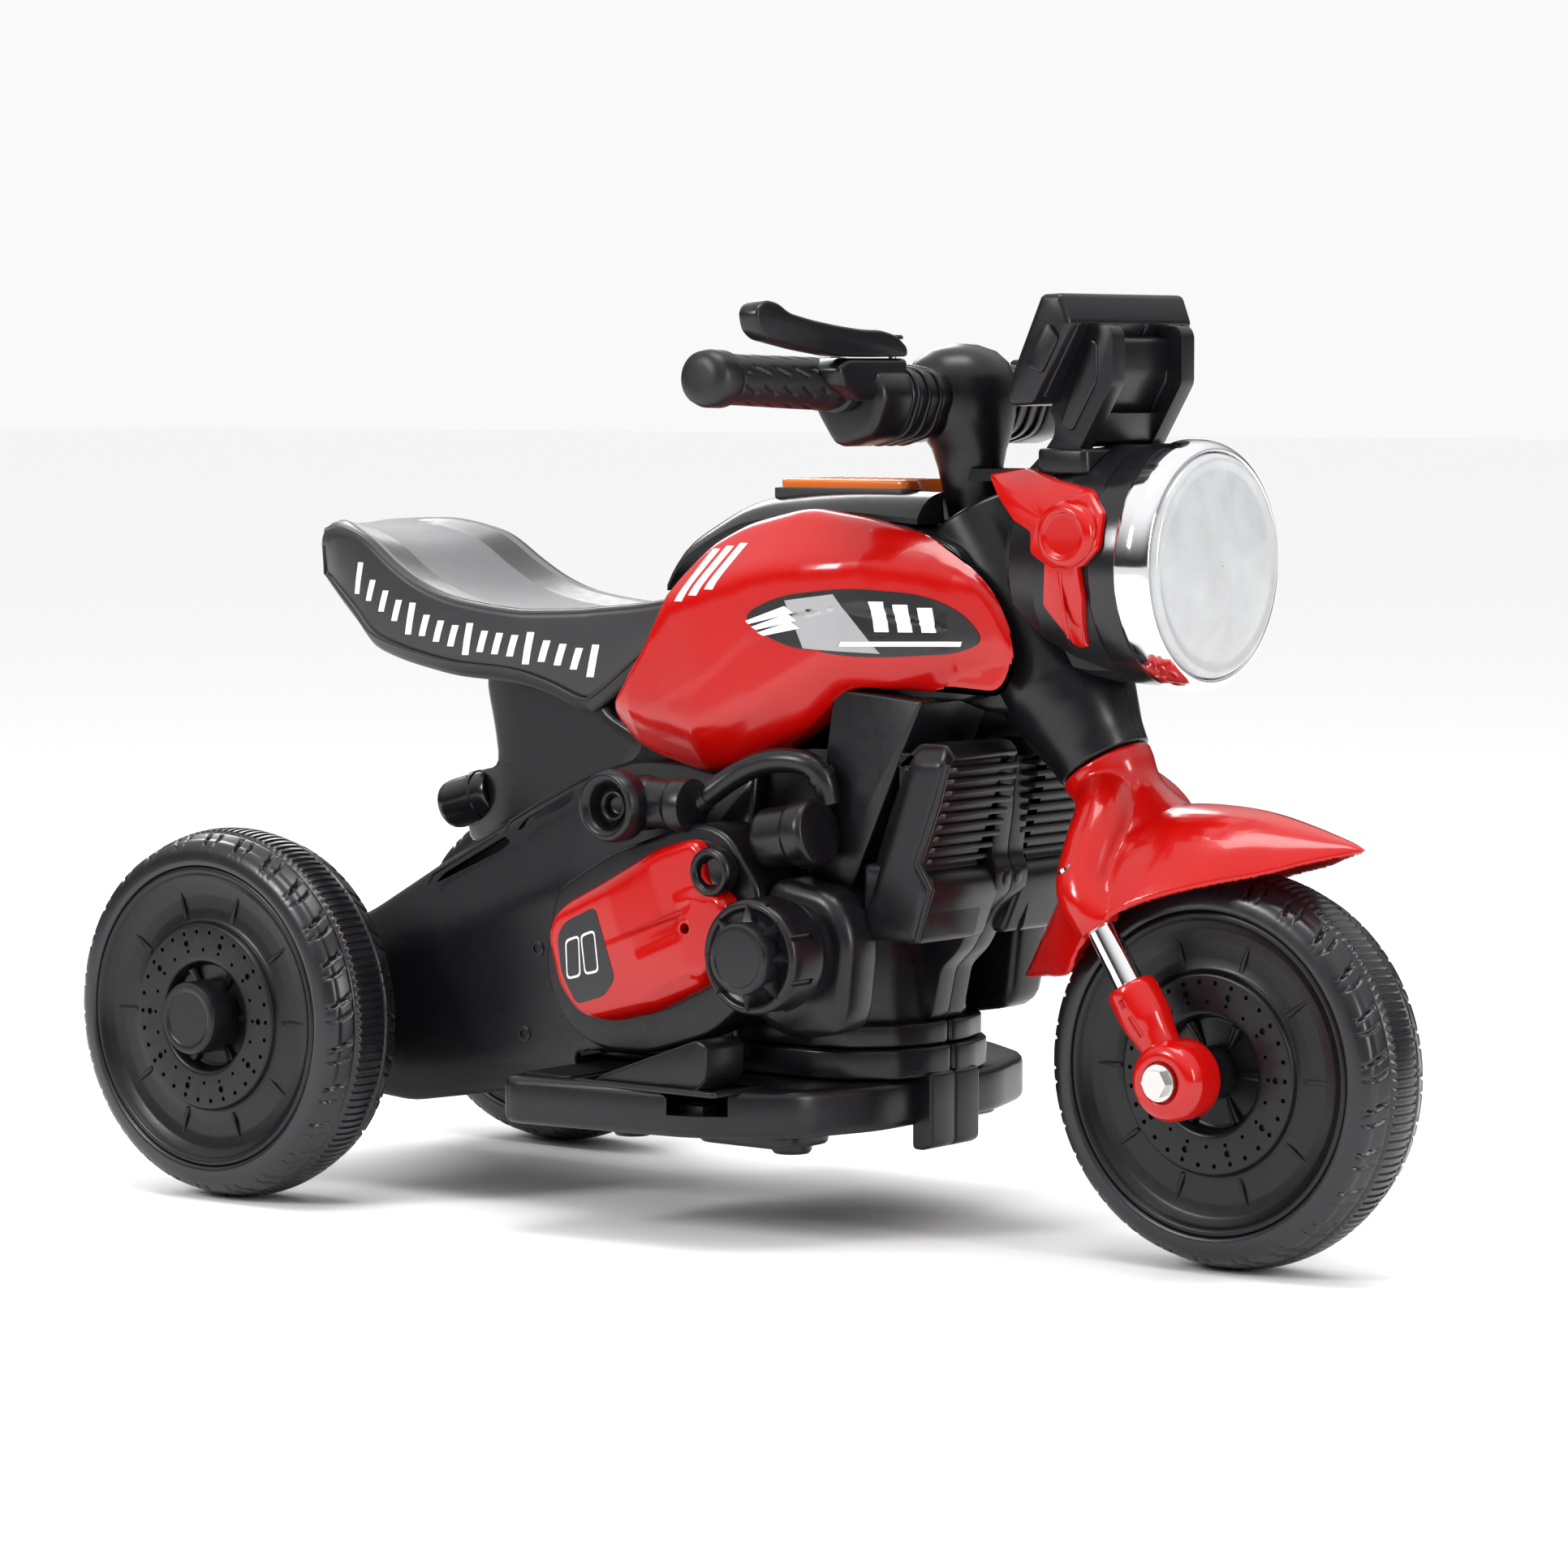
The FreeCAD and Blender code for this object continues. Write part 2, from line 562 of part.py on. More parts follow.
def mudguard():
    """An arched shell round the top of the front wheel, pointed at both ends."""
    arch = [(138, 0), (136, 22), (126, 42), (108, 55), (91, 60), (91, 56.5), (107, 51.5), (123, 39),
            (132.5, 21), (134.5, 0), (132.5, -21), (123, -39), (107, -51.5), (91, -56.5), (91, -60),
            (108, -55), (126, -42), (136, -22)]
    points = [Vector(r, y, 0) for r, y in arch]
    face = Part.Face(Part.makePolygon(points + points[:1]))
    nose_deg, tail_deg = 57.0, 164.0
    shell = face.revolve(Vector(0, 0, 0), Y_AXIS * -1, tail_deg - nose_deg)
    shell.rotate(Vector(0, 0, 0), Y_AXIS * -1, nose_deg)
    shell.translate(Vector(FRONT_X, 0, WHEEL_RADIUS))
    side_cut = slab([(420, 230), (366, 221.5), (298, 204), (268, 195), (245, 184), (230, 172),
                     (214, 154), (150, 139), (150, 100), (420, 100)], -70, 70)
    plan_half = [(372, 0), (366, 5), (344, 20), (318, 38), (290, 60), (200, 60), (168, 44), (153, 8)]
    plan = plan_half + [(x, -y) for x, y in reversed(plan_half[1:])] + [(150, 0)]
    return shell.cut(side_cut).common(plate(plan, 130, 250))


def fork_crown():
    """The column under the head tube, the mudguard and the two leg sockets, in one moulding."""
    column = lathe([(0, -0.2), (25, -0.2), (24, -6), (21, -12), (21, -20), (27, -32), (33, -44), (0, -44)],
                   COLLAR, STEER_UP)
    sockets = [rod(fork_point(84, side), fork_point(132, side), 11) for side in (-1, 1)]
    bridge = slab([(222, 228), (246, 240), (252, 224), (226, 196), (212, 206)], -62, 62)
    tyre_room = rod(Vector(FRONT_X, -40, WHEEL_RADIUS), Vector(FRONT_X, 40, WHEEL_RADIUS), 111)
    arch_limit = rod(Vector(FRONT_X, -70, WHEEL_RADIUS), Vector(FRONT_X, 70, WHEEL_RADIUS), 137)
    bridge = bridge.common(arch_limit).cut(tyre_room)
    crown = joined([column, mudguard(), bridge] + sockets)
    bores = [rod(fork_point(80, side), fork_point(124, side), 7.75) for side in (-1, 1)]
    bores.append(rod(up_steering(-22), up_steering(5), 8))
    return cut_all(crown, bores + [tyre_room])


def fork_rods():
    return Part.makeCompound([rod(fork_point(24, side), fork_point(124, side), 7.75) for side in (-1, 1)])


def fork_end(side):
    """The lower end of a leg: a sleeve on the rod and a round boss for the axle."""
    inner_y, outer_y = side * 43.0, side * 70.0
    sleeve = rod(fork_point(4, side), fork_point(55, side), 13.5)
    boss = rod(Vector(FRONT_X, inner_y, WHEEL_RADIUS), Vector(FRONT_X, outer_y, WHEEL_RADIUS), 21)
    rod_bore = rod(fork_point(24, side), fork_point(60, side), 7.75)
    axle_bore = rod(Vector(FRONT_X, side * 40, WHEEL_RADIUS), Vector(FRONT_X, side * 75, WHEEL_RADIUS),
                    AXLE_RADIUS)
    hub_room = box(240, 330, -43, 43, 80, 170)
    return cut_all(sleeve.fuse(boss), [rod_bore, axle_bore, hub_room])


def front_axle():
    shank = rod(Vector(FRONT_X, -70, WHEEL_RADIUS), Vector(FRONT_X, 78, WHEEL_RADIUS), AXLE_RADIUS)
    flange = rod(Vector(FRONT_X, -72, WHEEL_RADIUS), Vector(FRONT_X, -70, WHEEL_RADIUS), 9.5)
    head = hexagon(Vector(FRONT_X, -76, WHEEL_RADIUS), Vector(FRONT_X, -71, WHEEL_RADIUS), 7.5)
    return joined([shank, flange, head])


def front_axle_nut():
    start, end = Vector(FRONT_X, 70, WHEEL_RADIUS), Vector(FRONT_X, 76, WHEEL_RADIUS)
    return hexagon(start, end, 8.5).cut(rod(start, end, AXLE_RADIUS))


def ellipse_wire(x, z, half_x, half_y):
    """A level ellipse, with its long half-axis first as the kernel wants."""
    centre = Vector(x, 0, z)
    if half_x >= half_y:
        curve = Part.Ellipse(centre + Vector(half_x, 0, 0), centre + Vector(0, half_y, 0), centre)
    else:
        curve = Part.Ellipse(centre + Vector(0, half_y, 0), centre + Vector(-half_x, 0, 0), centre)
    return Part.Wire(curve.toShape())


def handlebar_cover():
    """The stem, the domed clamp and the two switch housings."""
    sections = [(126, 372, 16, 13), (120, 394, 17, 13), (118, 421, 21, 18), (112, 440, 30, 30),
                (112, 462, 26, 30), (112, 472, 18, 22), (112, 478, 5, 6)]
    stem = Part.makeLoft([ellipse_wire(*section) for section in sections], True, False)
    stem = stem.common(rod(up_steering(150.8), up_steering(330), 150))
    housing_outline = [(80, 446), (88, 462), (100, 469), (122, 466), (128, 452), (120, 430), (96, 423)]
    housings = slab(housing_outline, -76, 76, 6)
    bracket = slab([(92, 456), (92, 470), (124, 472), (124, 456)], -74, -44, 3)
    cover = joined([stem, housings, bracket, mirrored(bracket)])
    shaft_bore = rod(up_steering(140), up_steering(176), 8)
    bar_bore = [rod(bar_point(0, side), bar_point(GRIP_END_Y, side), 10) for side in (-1, 1)]
    lever_room = [lever_shape(side, 0.6) for side in (-1, 1)]
    pin_bore = [rod(lever_pivot(side) - Z_AXIS * 12, lever_pivot(side) + Z_AXIS * 8, 2) for side in (-1, 1)]
    return cut_all(cover, [shaft_bore] + bar_bore + lever_room + pin_bore)


def bar_point(y, side):
    """A point on the handlebar's centre line."""
    sweep = 24.0 / 128.0
    return Vector(108 - sweep * (y - 60), side * y, 455 + (y - 60) * 5.0 / 128.0)


def handlebar_tube():
    """The steel bar: two swept halves that meet inside the clamp."""
    halves = [rod(bar_point(0, side), bar_point(GRIP_END_Y - 9, side), 10) for side in (-1, 1)]
    return joined(halves)


def grip(side):
    """A ribbed sleeve with a rounded end and an inner flange."""
    start, end = bar_point(78, side), bar_point(GRIP_END_Y, side)
    length = (end - start).Length
    profile = [(10, 0), (14.6, 0), (15, 4), (14.6, 8), (13.5, 11)]
    profile += [(12.8, length - 22), (15, length - 17), (15, length - 5), (11, length), (0, length)]
    profile += [(0, length - 6.2), (10, length - 6.2)]
    return lathe(profile, start, end - start)


def lever_pivot(side):
    return Vector(117, side * 68, 474)


def lever_shape(side, grow=0.0):
    """A brake lever: a blade with a round pivot end and a knobbed tip."""
    outline = [(58, 470.5), (60, 481), (84, 482), (100, 484), (138, 487), (166, 492), (173, 497.5),
               (182, 497.5), (189, 492), (183, 480.5), (131, 472), (80, 470.5)]
    points = [Vector(110 - grow, side * y, z) for y, z in outline]
    face = Part.Face(rounded_wire(points, 3))
    blade = face.extrude(Vector(13 + 2 * grow, 0, 0))
    if grow:
        keep_near = box(90, 140, -82, 82, 440, 520)
        blade = blade.common(keep_near)
        centre = lever_pivot(side)
        blade = blade.fuse(rod(centre - Z_AXIS * 7, centre + Z_AXIS * 9, 11))
    return blade


def brake_lever(side):
    lever = lever_shape(side)
    pivot = lever_pivot(side)
    return lever.cut(rod(pivot - Z_AXIS * 15, pivot + Z_AXIS * 15, 2 + RUNNING_CLEARANCE))


def lever_pins():
    return Part.makeCompound([rod(lever_pivot(side) - Z_AXIS * 12, lever_pivot(side) + Z_AXIS * 6.5, 2)
                              for side in (-1, 1)])


# ---------------------------------------------------------------- headlight and phone holder

def headlight_axis(x):
    return Vector(x, 0, HEADLIGHT_Z)


def steering_scoop(narrow, wide, half_width):
    """The space round the steering axis: narrow near the middle plane, wide beside it."""
    low, high = up_steering(-20), up_steering(151.2)
    beside = rod(low, high, wide).cut(box(80, 340, -half_width, half_width, 200, 460))
    return rod(low, high, narrow).fuse(beside)


def headlight_bucket():
    """A round housing with a scooped back, so that it clears the frame at full lock."""
    form = lathe([(0, 165), (40, 168), (54, 182), (60, 200), (62, 215), (62, 238), (0, 238)],
                 headlight_axis(0), X_AXIS)
    inside = lathe([(0, 171), (39, 172), (52, 185), (57, 202), (59, 216), (59, 239), (0, 239)],
                   headlight_axis(0), X_AXIS)
    shell = form.cut(inside.cut(steering_scoop(44, 59, 27)))
    bracket = box(100, 190, -15, 15, 405.6, 412)
    stem_sections = [ellipse_wire(122.5, 385, 17.3, 13.3), ellipse_wire(118, 421, 21.2, 18.2)]
    stem_room = Part.makeLoft(stem_sections, True)
    tools = [steering_scoop(41, 56, 30), stem_room, box(80, 118, -20, 20, 400, 416)]
    return cut_all(joined([shell, bracket]), tools)


def headlight_ring():
    """The chrome bezel."""
    profile = [(60, 238.2), (64.5, 238.2), (65, 240), (65, 262), (63, 270), (60.2, 274), (58.8, 272),
               (60, 262)]
    return lathe(profile, headlight_axis(0), X_AXIS)


def headlight_lens():
    """A slightly domed clear lens."""
    profile = [(0, 276.5), (30, 275.8), (50, 273.6), (58.4, 271), (58.4, 268), (50, 270.8), (30, 273),
               (0, 273.7)]
    return lathe(profile, headlight_axis(0), X_AXIS)


def headlight_reflector():
    """A dished reflector with the lamp in its middle."""
    dish = lathe([(0, 240.5), (12, 240.5), (40, 250), (58, 264), (58, 266), (38, 253), (11, 243.5), (0, 243.5)],
                 headlight_axis(0), X_AXIS)
    lamp = lathe([(0, 243), (8, 243), (8, 252), (5, 257), (0, 258)], headlight_axis(0), X_AXIS)
    return dish.fuse(lamp)


def headlight_ears():
    """The red trim wrapped on each side of the headlight: a wing, a round boss and a pointed blade."""
    sleeve = lathe([(62.3, 160), (66.5, 160), (66.5, 238), (62.3, 238)], headlight_axis(0), X_AXIS)
    wing = [(165, 410), (186, 415), (206, 408), (212, 370), (196, 372), (185, 387)]
    blade = [(206, 372), (232, 372), (236, 347), (217, 318), (208, 344)]
    trim = joined([slab(wing, -80, -30), slab(blade, -80, -30)]).common(sleeve)
    boss = rod(Vector(219, -71, 380), Vector(219, -50, 380), 17).cut(
        rod(headlight_axis(150), headlight_axis(250), 62.3))
    return both_sides(joined([trim, boss]))


def dash_stay(side):
    outline = [(184, 416), (214, 420), (224, 428), (233, 456), (230, 476), (216, 478), (200, 450)]
    low, high = sorted((side * 28.0, side * 38.0))
    stay = slab(outline, low, high, 2)
    return stay.cut(rod(headlight_axis(150), headlight_axis(250), 62.1))


def dash_bracket():
    """Two stays from the headlight to the phone holder, tied by a bar."""
    tie = slab([(214, 428), (222, 431), (226, 446), (218, 444)], -30, 30)
    feet = box(192, 226, -40, 40, 416, 424).cut(rod(headlight_axis(150), headlight_axis(250), 62.3))
    return joined([dash_stay(-1), dash_stay(1), tie, feet])


def dash_holder():
    """The tray that a phone stands in, leaning forward, open towards the rider."""
    body = slab([(180, 452), (184, 445), (198, 446), (222, 488), (216, 503.6), (203, 503.6)], -57, 57, 2)
    recess = slab([(160, 455), (190, 455), (207, 498), (160, 498)], -50, 50)
    return body.cut(recess)


# ---------------------------------------------------------------- assembly

SHELLS = ("body_shell_right", "body_shell_left")
COVERS = ("tank_cover_right", "tank_cover_left")

# Each of these pieces is shaped to lie against the pieces named beside it.
SEATED_AGAINST = [
    ("intakes", ("engine_cases",)),
    ("reservoirs", SHELLS),
    ("gearbox_housing", SHELLS),
    ("tank_cover_right", SHELLS),
    ("tank_cover_left", SHELLS),
    ("side_pipes", SHELLS + COVERS),
    ("seat", SHELLS + COVERS),
    ("cylinder_shrouds", ("side_knob_right", "side_knob_left")),
    ("headlight_ears", ("headlight_ring",)),
    ("dash_bracket", ("dash_holder",)),
    ("handlebar_cover", ("grip_right", "grip_left")),
]


def seated(shape, others):
    """The shape without what its neighbours fill, and without the scraps left inside them."""
    solids = cut_all(shape, others).Solids
    largest = max(solid.Volume for solid in solids)
    kept = [solid for solid in solids if solid.Volume > 0.5 * largest]
    return kept[0] if len(kept) == 1 else Part.makeCompound(kept)


def make_nodes():
    cuts = frame_cuts()
    socket_hole = rod(Vector(-150, 40, 262), Vector(-150, 60, 262), 7.1)
    sleeve_hole = rod(Vector(REAR_X, -85, WHEEL_RADIUS), Vector(REAR_X, -76, WHEEL_RADIUS), 10.4)
    right = body_shell_right(cuts)
    nodes = {
        "body_shell_right": right.cut(sleeve_hole),
        "body_shell_left": mirrored(right).cut(socket_hole),
        "base_platform": base_platform(),
        "battery_tray": battery_tray(),
        "battery": battery(),
        "control_board": control_board(),
        "charging_socket": charging_socket(),
        "tank_cover_right": tank_cover_right(),
        "tank_cover_left": mirrored(tank_cover_right()),
        "tank_top_panel": tank_top_panel(),
        "horn_button": horn_button(),
        "seat": seat(),
        "engine_cases": both_sides(engine_case_right()),
        "engine_cover_right": engine_cover_right(),
        "engine_cover_left": mirrored(engine_cover_right()),
        "side_knob_right": side_knob_right(),
        "side_knob_left": mirrored(side_knob_right()),
        "cylinder_shrouds": both_sides(cylinder_shroud_right()),
        "reservoirs": both_sides(reservoir_right()),
        "intakes": both_sides(intake_right()),
        "side_pipes": both_sides(side_pipe_right()),
        "tail_pipes": both_sides(tail_pipe_right()),
        "rear_axle": rear_axle(),
        "axle_hardware": axle_hardware(),
        "gearbox_housing": gearbox_housing(),
        "motor": motor(),
        "motor_pinion": motor_pinion(),
        "output_gear": output_gear(),
        "foot_pedal": foot_pedal(),
        "pedal_pin": pedal_pin(),
        "pedal_switch": pedal_switch(),
        "steering_bushes": steering_bushes(),
        "steering_shaft": steering_shaft(),
        "fork_crown": fork_crown(),
        "fork_rods": fork_rods(),
        "fork_ends": Part.makeCompound([fork_end(-1), fork_end(1)]),
        "front_axle": front_axle(),
        "front_axle_nut": front_axle_nut(),
        "front_tyre": tyre(FRONT_X, 0, WHEEL_RADIUS),
        "front_hub": wheel_hub(FRONT_X, 0, WHEEL_RADIUS, 42.6, 42.6),
        "handlebar_cover": handlebar_cover(),
        "handlebar_tube": handlebar_tube(),
        "lever_pins": lever_pins(),
        "headlight_bucket": headlight_bucket(),
        "headlight_ring": headlight_ring(),
        "headlight_lens": headlight_lens(),
        "headlight_reflector": headlight_reflector(),
        "headlight_ears": headlight_ears(),
        "dash_bracket": dash_bracket(),
        "dash_holder": dash_holder(),
    }
    for name, side in (("right", -1), ("left", 1)):
        inner_end, outer_end = (28.8, 21.4)
        ends = (outer_end, inner_end) if side < 0 else (inner_end, outer_end)
        nodes["rear_tyre_" + name] = tyre(REAR_X, side * WHEEL_Y, WHEEL_RADIUS)
        nodes["rear_hub_" + name] = wheel_hub(REAR_X, side * WHEEL_Y, WHEEL_RADIUS, *ends)
        nodes["hub_cap_" + name] = hub_cap(side)
        nodes["grip_" + name] = grip(side)
        nodes["brake_lever_" + name] = brake_lever(side)
    for name, others in SEATED_AGAINST:
        nodes[name] = seated(nodes[name], [nodes[other] for other in others])
    return nodes


def main():
    os.makedirs("parts", exist_ok=True)
    for name, shape in make_nodes().items():
        box_of = shape.BoundBox
        print(f"{name:24s} solids {len(shape.Solids)} valid {shape.isValid()} volume {shape.Volume / 1000:8.1f}"
              f"  x {box_of.XMin:7.1f} {box_of.XMax:7.1f}  y {box_of.YMin:7.1f} {box_of.YMax:7.1f}"
              f"  z {box_of.ZMin:6.1f} {box_of.ZMax:6.1f}")
        shape.exportStep("parts/" + name + ".step")


main()
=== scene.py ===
import json
import math

import bmesh
import bpy
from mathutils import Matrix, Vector
from mathutils.bvhtree import BVHTree


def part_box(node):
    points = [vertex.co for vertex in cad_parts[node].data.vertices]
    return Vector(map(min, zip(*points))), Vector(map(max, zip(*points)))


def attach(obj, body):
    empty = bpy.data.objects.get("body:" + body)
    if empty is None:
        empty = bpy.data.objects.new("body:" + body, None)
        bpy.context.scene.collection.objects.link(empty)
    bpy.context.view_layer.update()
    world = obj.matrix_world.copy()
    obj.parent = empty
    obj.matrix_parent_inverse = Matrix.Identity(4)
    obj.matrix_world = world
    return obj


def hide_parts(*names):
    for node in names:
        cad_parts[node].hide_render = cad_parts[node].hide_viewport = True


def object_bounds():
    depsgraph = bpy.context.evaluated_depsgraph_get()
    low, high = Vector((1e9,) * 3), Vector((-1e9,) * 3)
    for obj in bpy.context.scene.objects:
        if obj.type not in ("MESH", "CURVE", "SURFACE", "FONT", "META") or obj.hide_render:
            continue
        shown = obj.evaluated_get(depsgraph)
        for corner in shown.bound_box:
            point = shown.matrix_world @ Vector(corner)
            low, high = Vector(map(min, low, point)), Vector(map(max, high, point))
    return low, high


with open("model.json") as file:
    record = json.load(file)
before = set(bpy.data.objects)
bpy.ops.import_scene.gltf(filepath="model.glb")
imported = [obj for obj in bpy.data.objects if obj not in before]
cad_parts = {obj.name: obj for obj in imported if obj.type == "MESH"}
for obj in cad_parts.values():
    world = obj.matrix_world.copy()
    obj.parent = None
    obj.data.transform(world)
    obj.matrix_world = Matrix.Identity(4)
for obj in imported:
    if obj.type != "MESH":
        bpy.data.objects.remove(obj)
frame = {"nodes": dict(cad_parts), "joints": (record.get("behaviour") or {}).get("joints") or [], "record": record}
cad_low, cad_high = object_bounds()

# A battery ride-on motorcycle with three wheels, for a small child.
# Shapes are written in millimetres in the frame's own axes, and piece() turns them into metres.
MM = 0.001


# ---------------------------------------------------------------- driving values, from the frame

def node_box(node):
    """The lowest and highest corners of a CAD node at rest."""
    low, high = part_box(node)
    return low / MM, high / MM


def node_centre(node):
    """The middle of a CAD node."""
    low, high = node_box(node)
    return (low + high) / 2


def joint(name):
    """The frame's entry for one joint."""
    return next(entry for entry in frame["joints"] if entry["name"] == name)


X_AXIS, Y_AXIS, Z_AXIS = Vector((1, 0, 0)), Vector((0, 1, 0)), Vector((0, 0, 1))
FRONT_WHEEL = node_centre("front_tyre")
REAR_WHEEL = node_centre("rear_tyre_right")
WHEEL_RADIUS = FRONT_WHEEL.z
TYRE_HALF_WIDTH = (node_box("front_tyre")[1].y - node_box("front_tyre")[0].y) / 2
COLLAR = Vector(joint("steer")["pos_m"]) / MM
STEER_UP = Vector(joint("steer")["axis"]).normalized()
LAMP_Z = node_centre("headlight_ring").z
LAMP_FRONT = node_box("headlight_ring")[1].x
LAMP_BACK = node_box("headlight_ring")[0].x
RING_RADIUS = (node_box("headlight_ring")[1].z - node_box("headlight_ring")[0].z) / 2
FORK_Y = 54.0
HALF_GAP = 0.2          # between a moulding's half and the middle plane
AXLE_BORE = 5.06        # in the wheels
PIN_BORE = 2.06         # in the levers and the pedal
LAMP_ROOM = 62.4        # the bucket's radius and a little clearance
STEM_ROOM = 22          # round the turning stem, through the tank top
FAR_RIGHT = -400        # y where rays towards the right side start
PRINT_ROOT = 0.6        # how deep a print's back face is sunk
PLAQUE_ROOT = 0.8
POINT_RADIUS = 0.005    # the smallest ring, which stands for a point


def up_steering(distance):
    """A point on the steering axis, so far above the collar's lower edge."""
    return COLLAR + STEER_UP * distance


def fork_point(distance, side=-1):
    """A point on a fork leg's centre line, so far above the front axle."""
    return Vector((FRONT_WHEEL.x, side * FORK_Y, FRONT_WHEEL.z)) + STEER_UP * distance


# ---------------------------------------------------------------- curves

def rounded(points, radius, closed=True, steps=4):
    """The corners of a polygon turned into short curves that reach at most radius along each run."""
    result = []
    count = len(points)
    for i in range(count):
        here = Vector(points[i])
        if not closed and i in (0, count - 1):
            result.append(here)
            continue
        back, ahead = Vector(points[i - 1]) - here, Vector(points[(i + 1) % count]) - here
        reach = min(radius, 0.45 * back.length, 0.45 * ahead.length)
        start, end = here + back.normalized() * reach, here + ahead.normalized() * reach
        for k in range(steps + 1):
            t = k / steps
            result.append(start * (1 - t) ** 2 + here * (2 * t * (1 - t)) + end * t * t)
    return result


def smooth(points, closed=False, steps=6):
    """A Catmull-Rom curve through the points."""
    points = [Vector(p) for p in points]
    count = len(points)
    result = []
    for i in range(count if closed else count - 1):
        if closed:
            a, b, c, d = (points[(i + k) % count] for k in (-1, 0, 1, 2))
        else:
            a, b, c, d = (points[min(max(i + k, 0), count - 1)] for k in (-1, 0, 1, 2))
        for k in range(steps):
            t = k / steps
            bend = 2 * a - 5 * b + 4 * c - d
            twist = 3 * b - a - 3 * c + d
            result.append(0.5 * (2 * b + (c - a) * t + bend * t * t + twist * t ** 3))
    if not closed:
        result.append(points[-1])
    return result


def between(value, table):
    """The second column of a table, read at a place in its first column, with straight runs."""
    if value <= table[0][0]:
        return table[0][1]
    for (x0, y0), (x1, y1) in zip(table, table[1:]):
        if value <= x1:
            return y0 + (y1 - y0) * (value - x0) / (x1 - x0)
    return table[-1][1]


def ease(t):
    """A soft step from 0 to 1."""
    t = min(max(t, 0.0), 1.0)
    return t * t * (3 - 2 * t)


def soft_min(values, blend=2.5):
    """The least value, with the change from one to another rounded over about blend."""
    least = min(values)
    return least - blend * math.log(sum(math.exp((least - v) / blend) for v in values))


def circle(centre, axis, radius, steps=48):
    """Points round an axis. radius is a number, or a function of the angle."""
    side = axis.orthogonal().normalized() if abs(axis.y) < 0.9 else X_AXIS.copy()
    other = axis.cross(side).normalized()
    points = []
    for i in range(steps):
        angle = 2 * math.pi * i / steps
        reach = radius(angle) if callable(radius) else radius
        points.append(centre + side * (reach * math.cos(angle)) + other * (reach * math.sin(angle)))
    return points


# ---------------------------------------------------------------- forms

def skin(rows, ring=True, caps=True, loop=False):
    """A surface through rows of points. ring joins each row's ends, loop joins the last row to the first."""
    form = bmesh.new()
    made = [[form.verts.new(p) for p in row] for row in rows]
    pairs = list(zip(made, made[1:])) + ([(made[-1], made[0])] if loop else [])
    for a, b in pairs:
        for i in range(len(a) if ring else len(a) - 1):
            j = (i + 1) % len(a)
            form.faces.new((a[i], a[j], b[j], b[i]))
    if caps and not loop:
        form.faces.new(list(reversed(made[0])))
        form.faces.new(made[-1])
    bmesh.ops.remove_doubles(form, verts=form.verts, dist=0.02)
    return form


def softened(form, edge, segments=3, angle=50):
    """The form with its sharp edges rounded."""
    sharp = [e for e in form.edges if len(e.link_faces) == 2 and e.calc_face_angle() > math.radians(angle)]
    bmesh.ops.bevel(form, geom=sharp, offset=edge, segments=segments, profile=0.5, affect="EDGES",
                    clamp_overlap=True)
    return form


def slab(outline, y_low, y_high, edge=1.2):
    """An (x, z) outline between two planes of constant y."""
    form = skin([[Vector((x, y, z)) for x, z in outline] for y in (y_low, y_high)])
    return softened(form, edge)


def plate(outline, z_low, z_high, edge=1.2):
    """An (x, y) outline between two levels."""
    form = skin([[Vector((x, y, z)) for x, y in outline] for z in (z_low, z_high)])
    return softened(form, edge)


def lathe(profile, origin, axis, steps=72, loop=False):
    """Turns a (radius, distance along the axis) profile round the axis."""
    rows = [circle(origin + axis * s, axis, max(r, POINT_RADIUS), steps) for r, s in profile]
    return skin(rows, loop=loop)


def swept(path, radius, steps=24):
    """A round tube along a path. radius is a number, or one number for each point."""
    radii = radius if isinstance(radius, (list, tuple)) else [radius] * len(path)
    tangents = []
    for i in range(len(path)):
        tangents.append((path[min(i + 1, len(path) - 1)] - path[max(i - 1, 0)]).normalized())
    side = tangents[0].orthogonal().normalized()
    rows = []
    for point, tangent, reach in zip(path, tangents, radii):
        side = (side - tangent * side.dot(tangent)).normalized()
        other = tangent.cross(side)
        turn = [2 * math.pi * i / steps for i in range(steps)]
        rows.append([point + (side * math.cos(a) + other * math.sin(a)) * reach for a in turn])
    return skin(rows)


def ellipse(x, z, half_x, half_y, steps=48):
    """A level ellipse centred on the middle plane."""
    turn = [2 * math.pi * i / steps for i in range(steps)]
    return [Vector((x + half_x * math.cos(a), half_y * math.sin(a), z)) for a in turn]


def nearest(point, spine):
    """The nearest point of a chain of straight runs."""
    best = None
    for a, b in zip(spine, spine[1:]):
        run = b - a
        t = min(max((point - a).dot(run) / run.length_squared, 0), 1)
        found = a + run * t
        if best is None or (point - found).length < (point - best).length:
            best = found
    return best


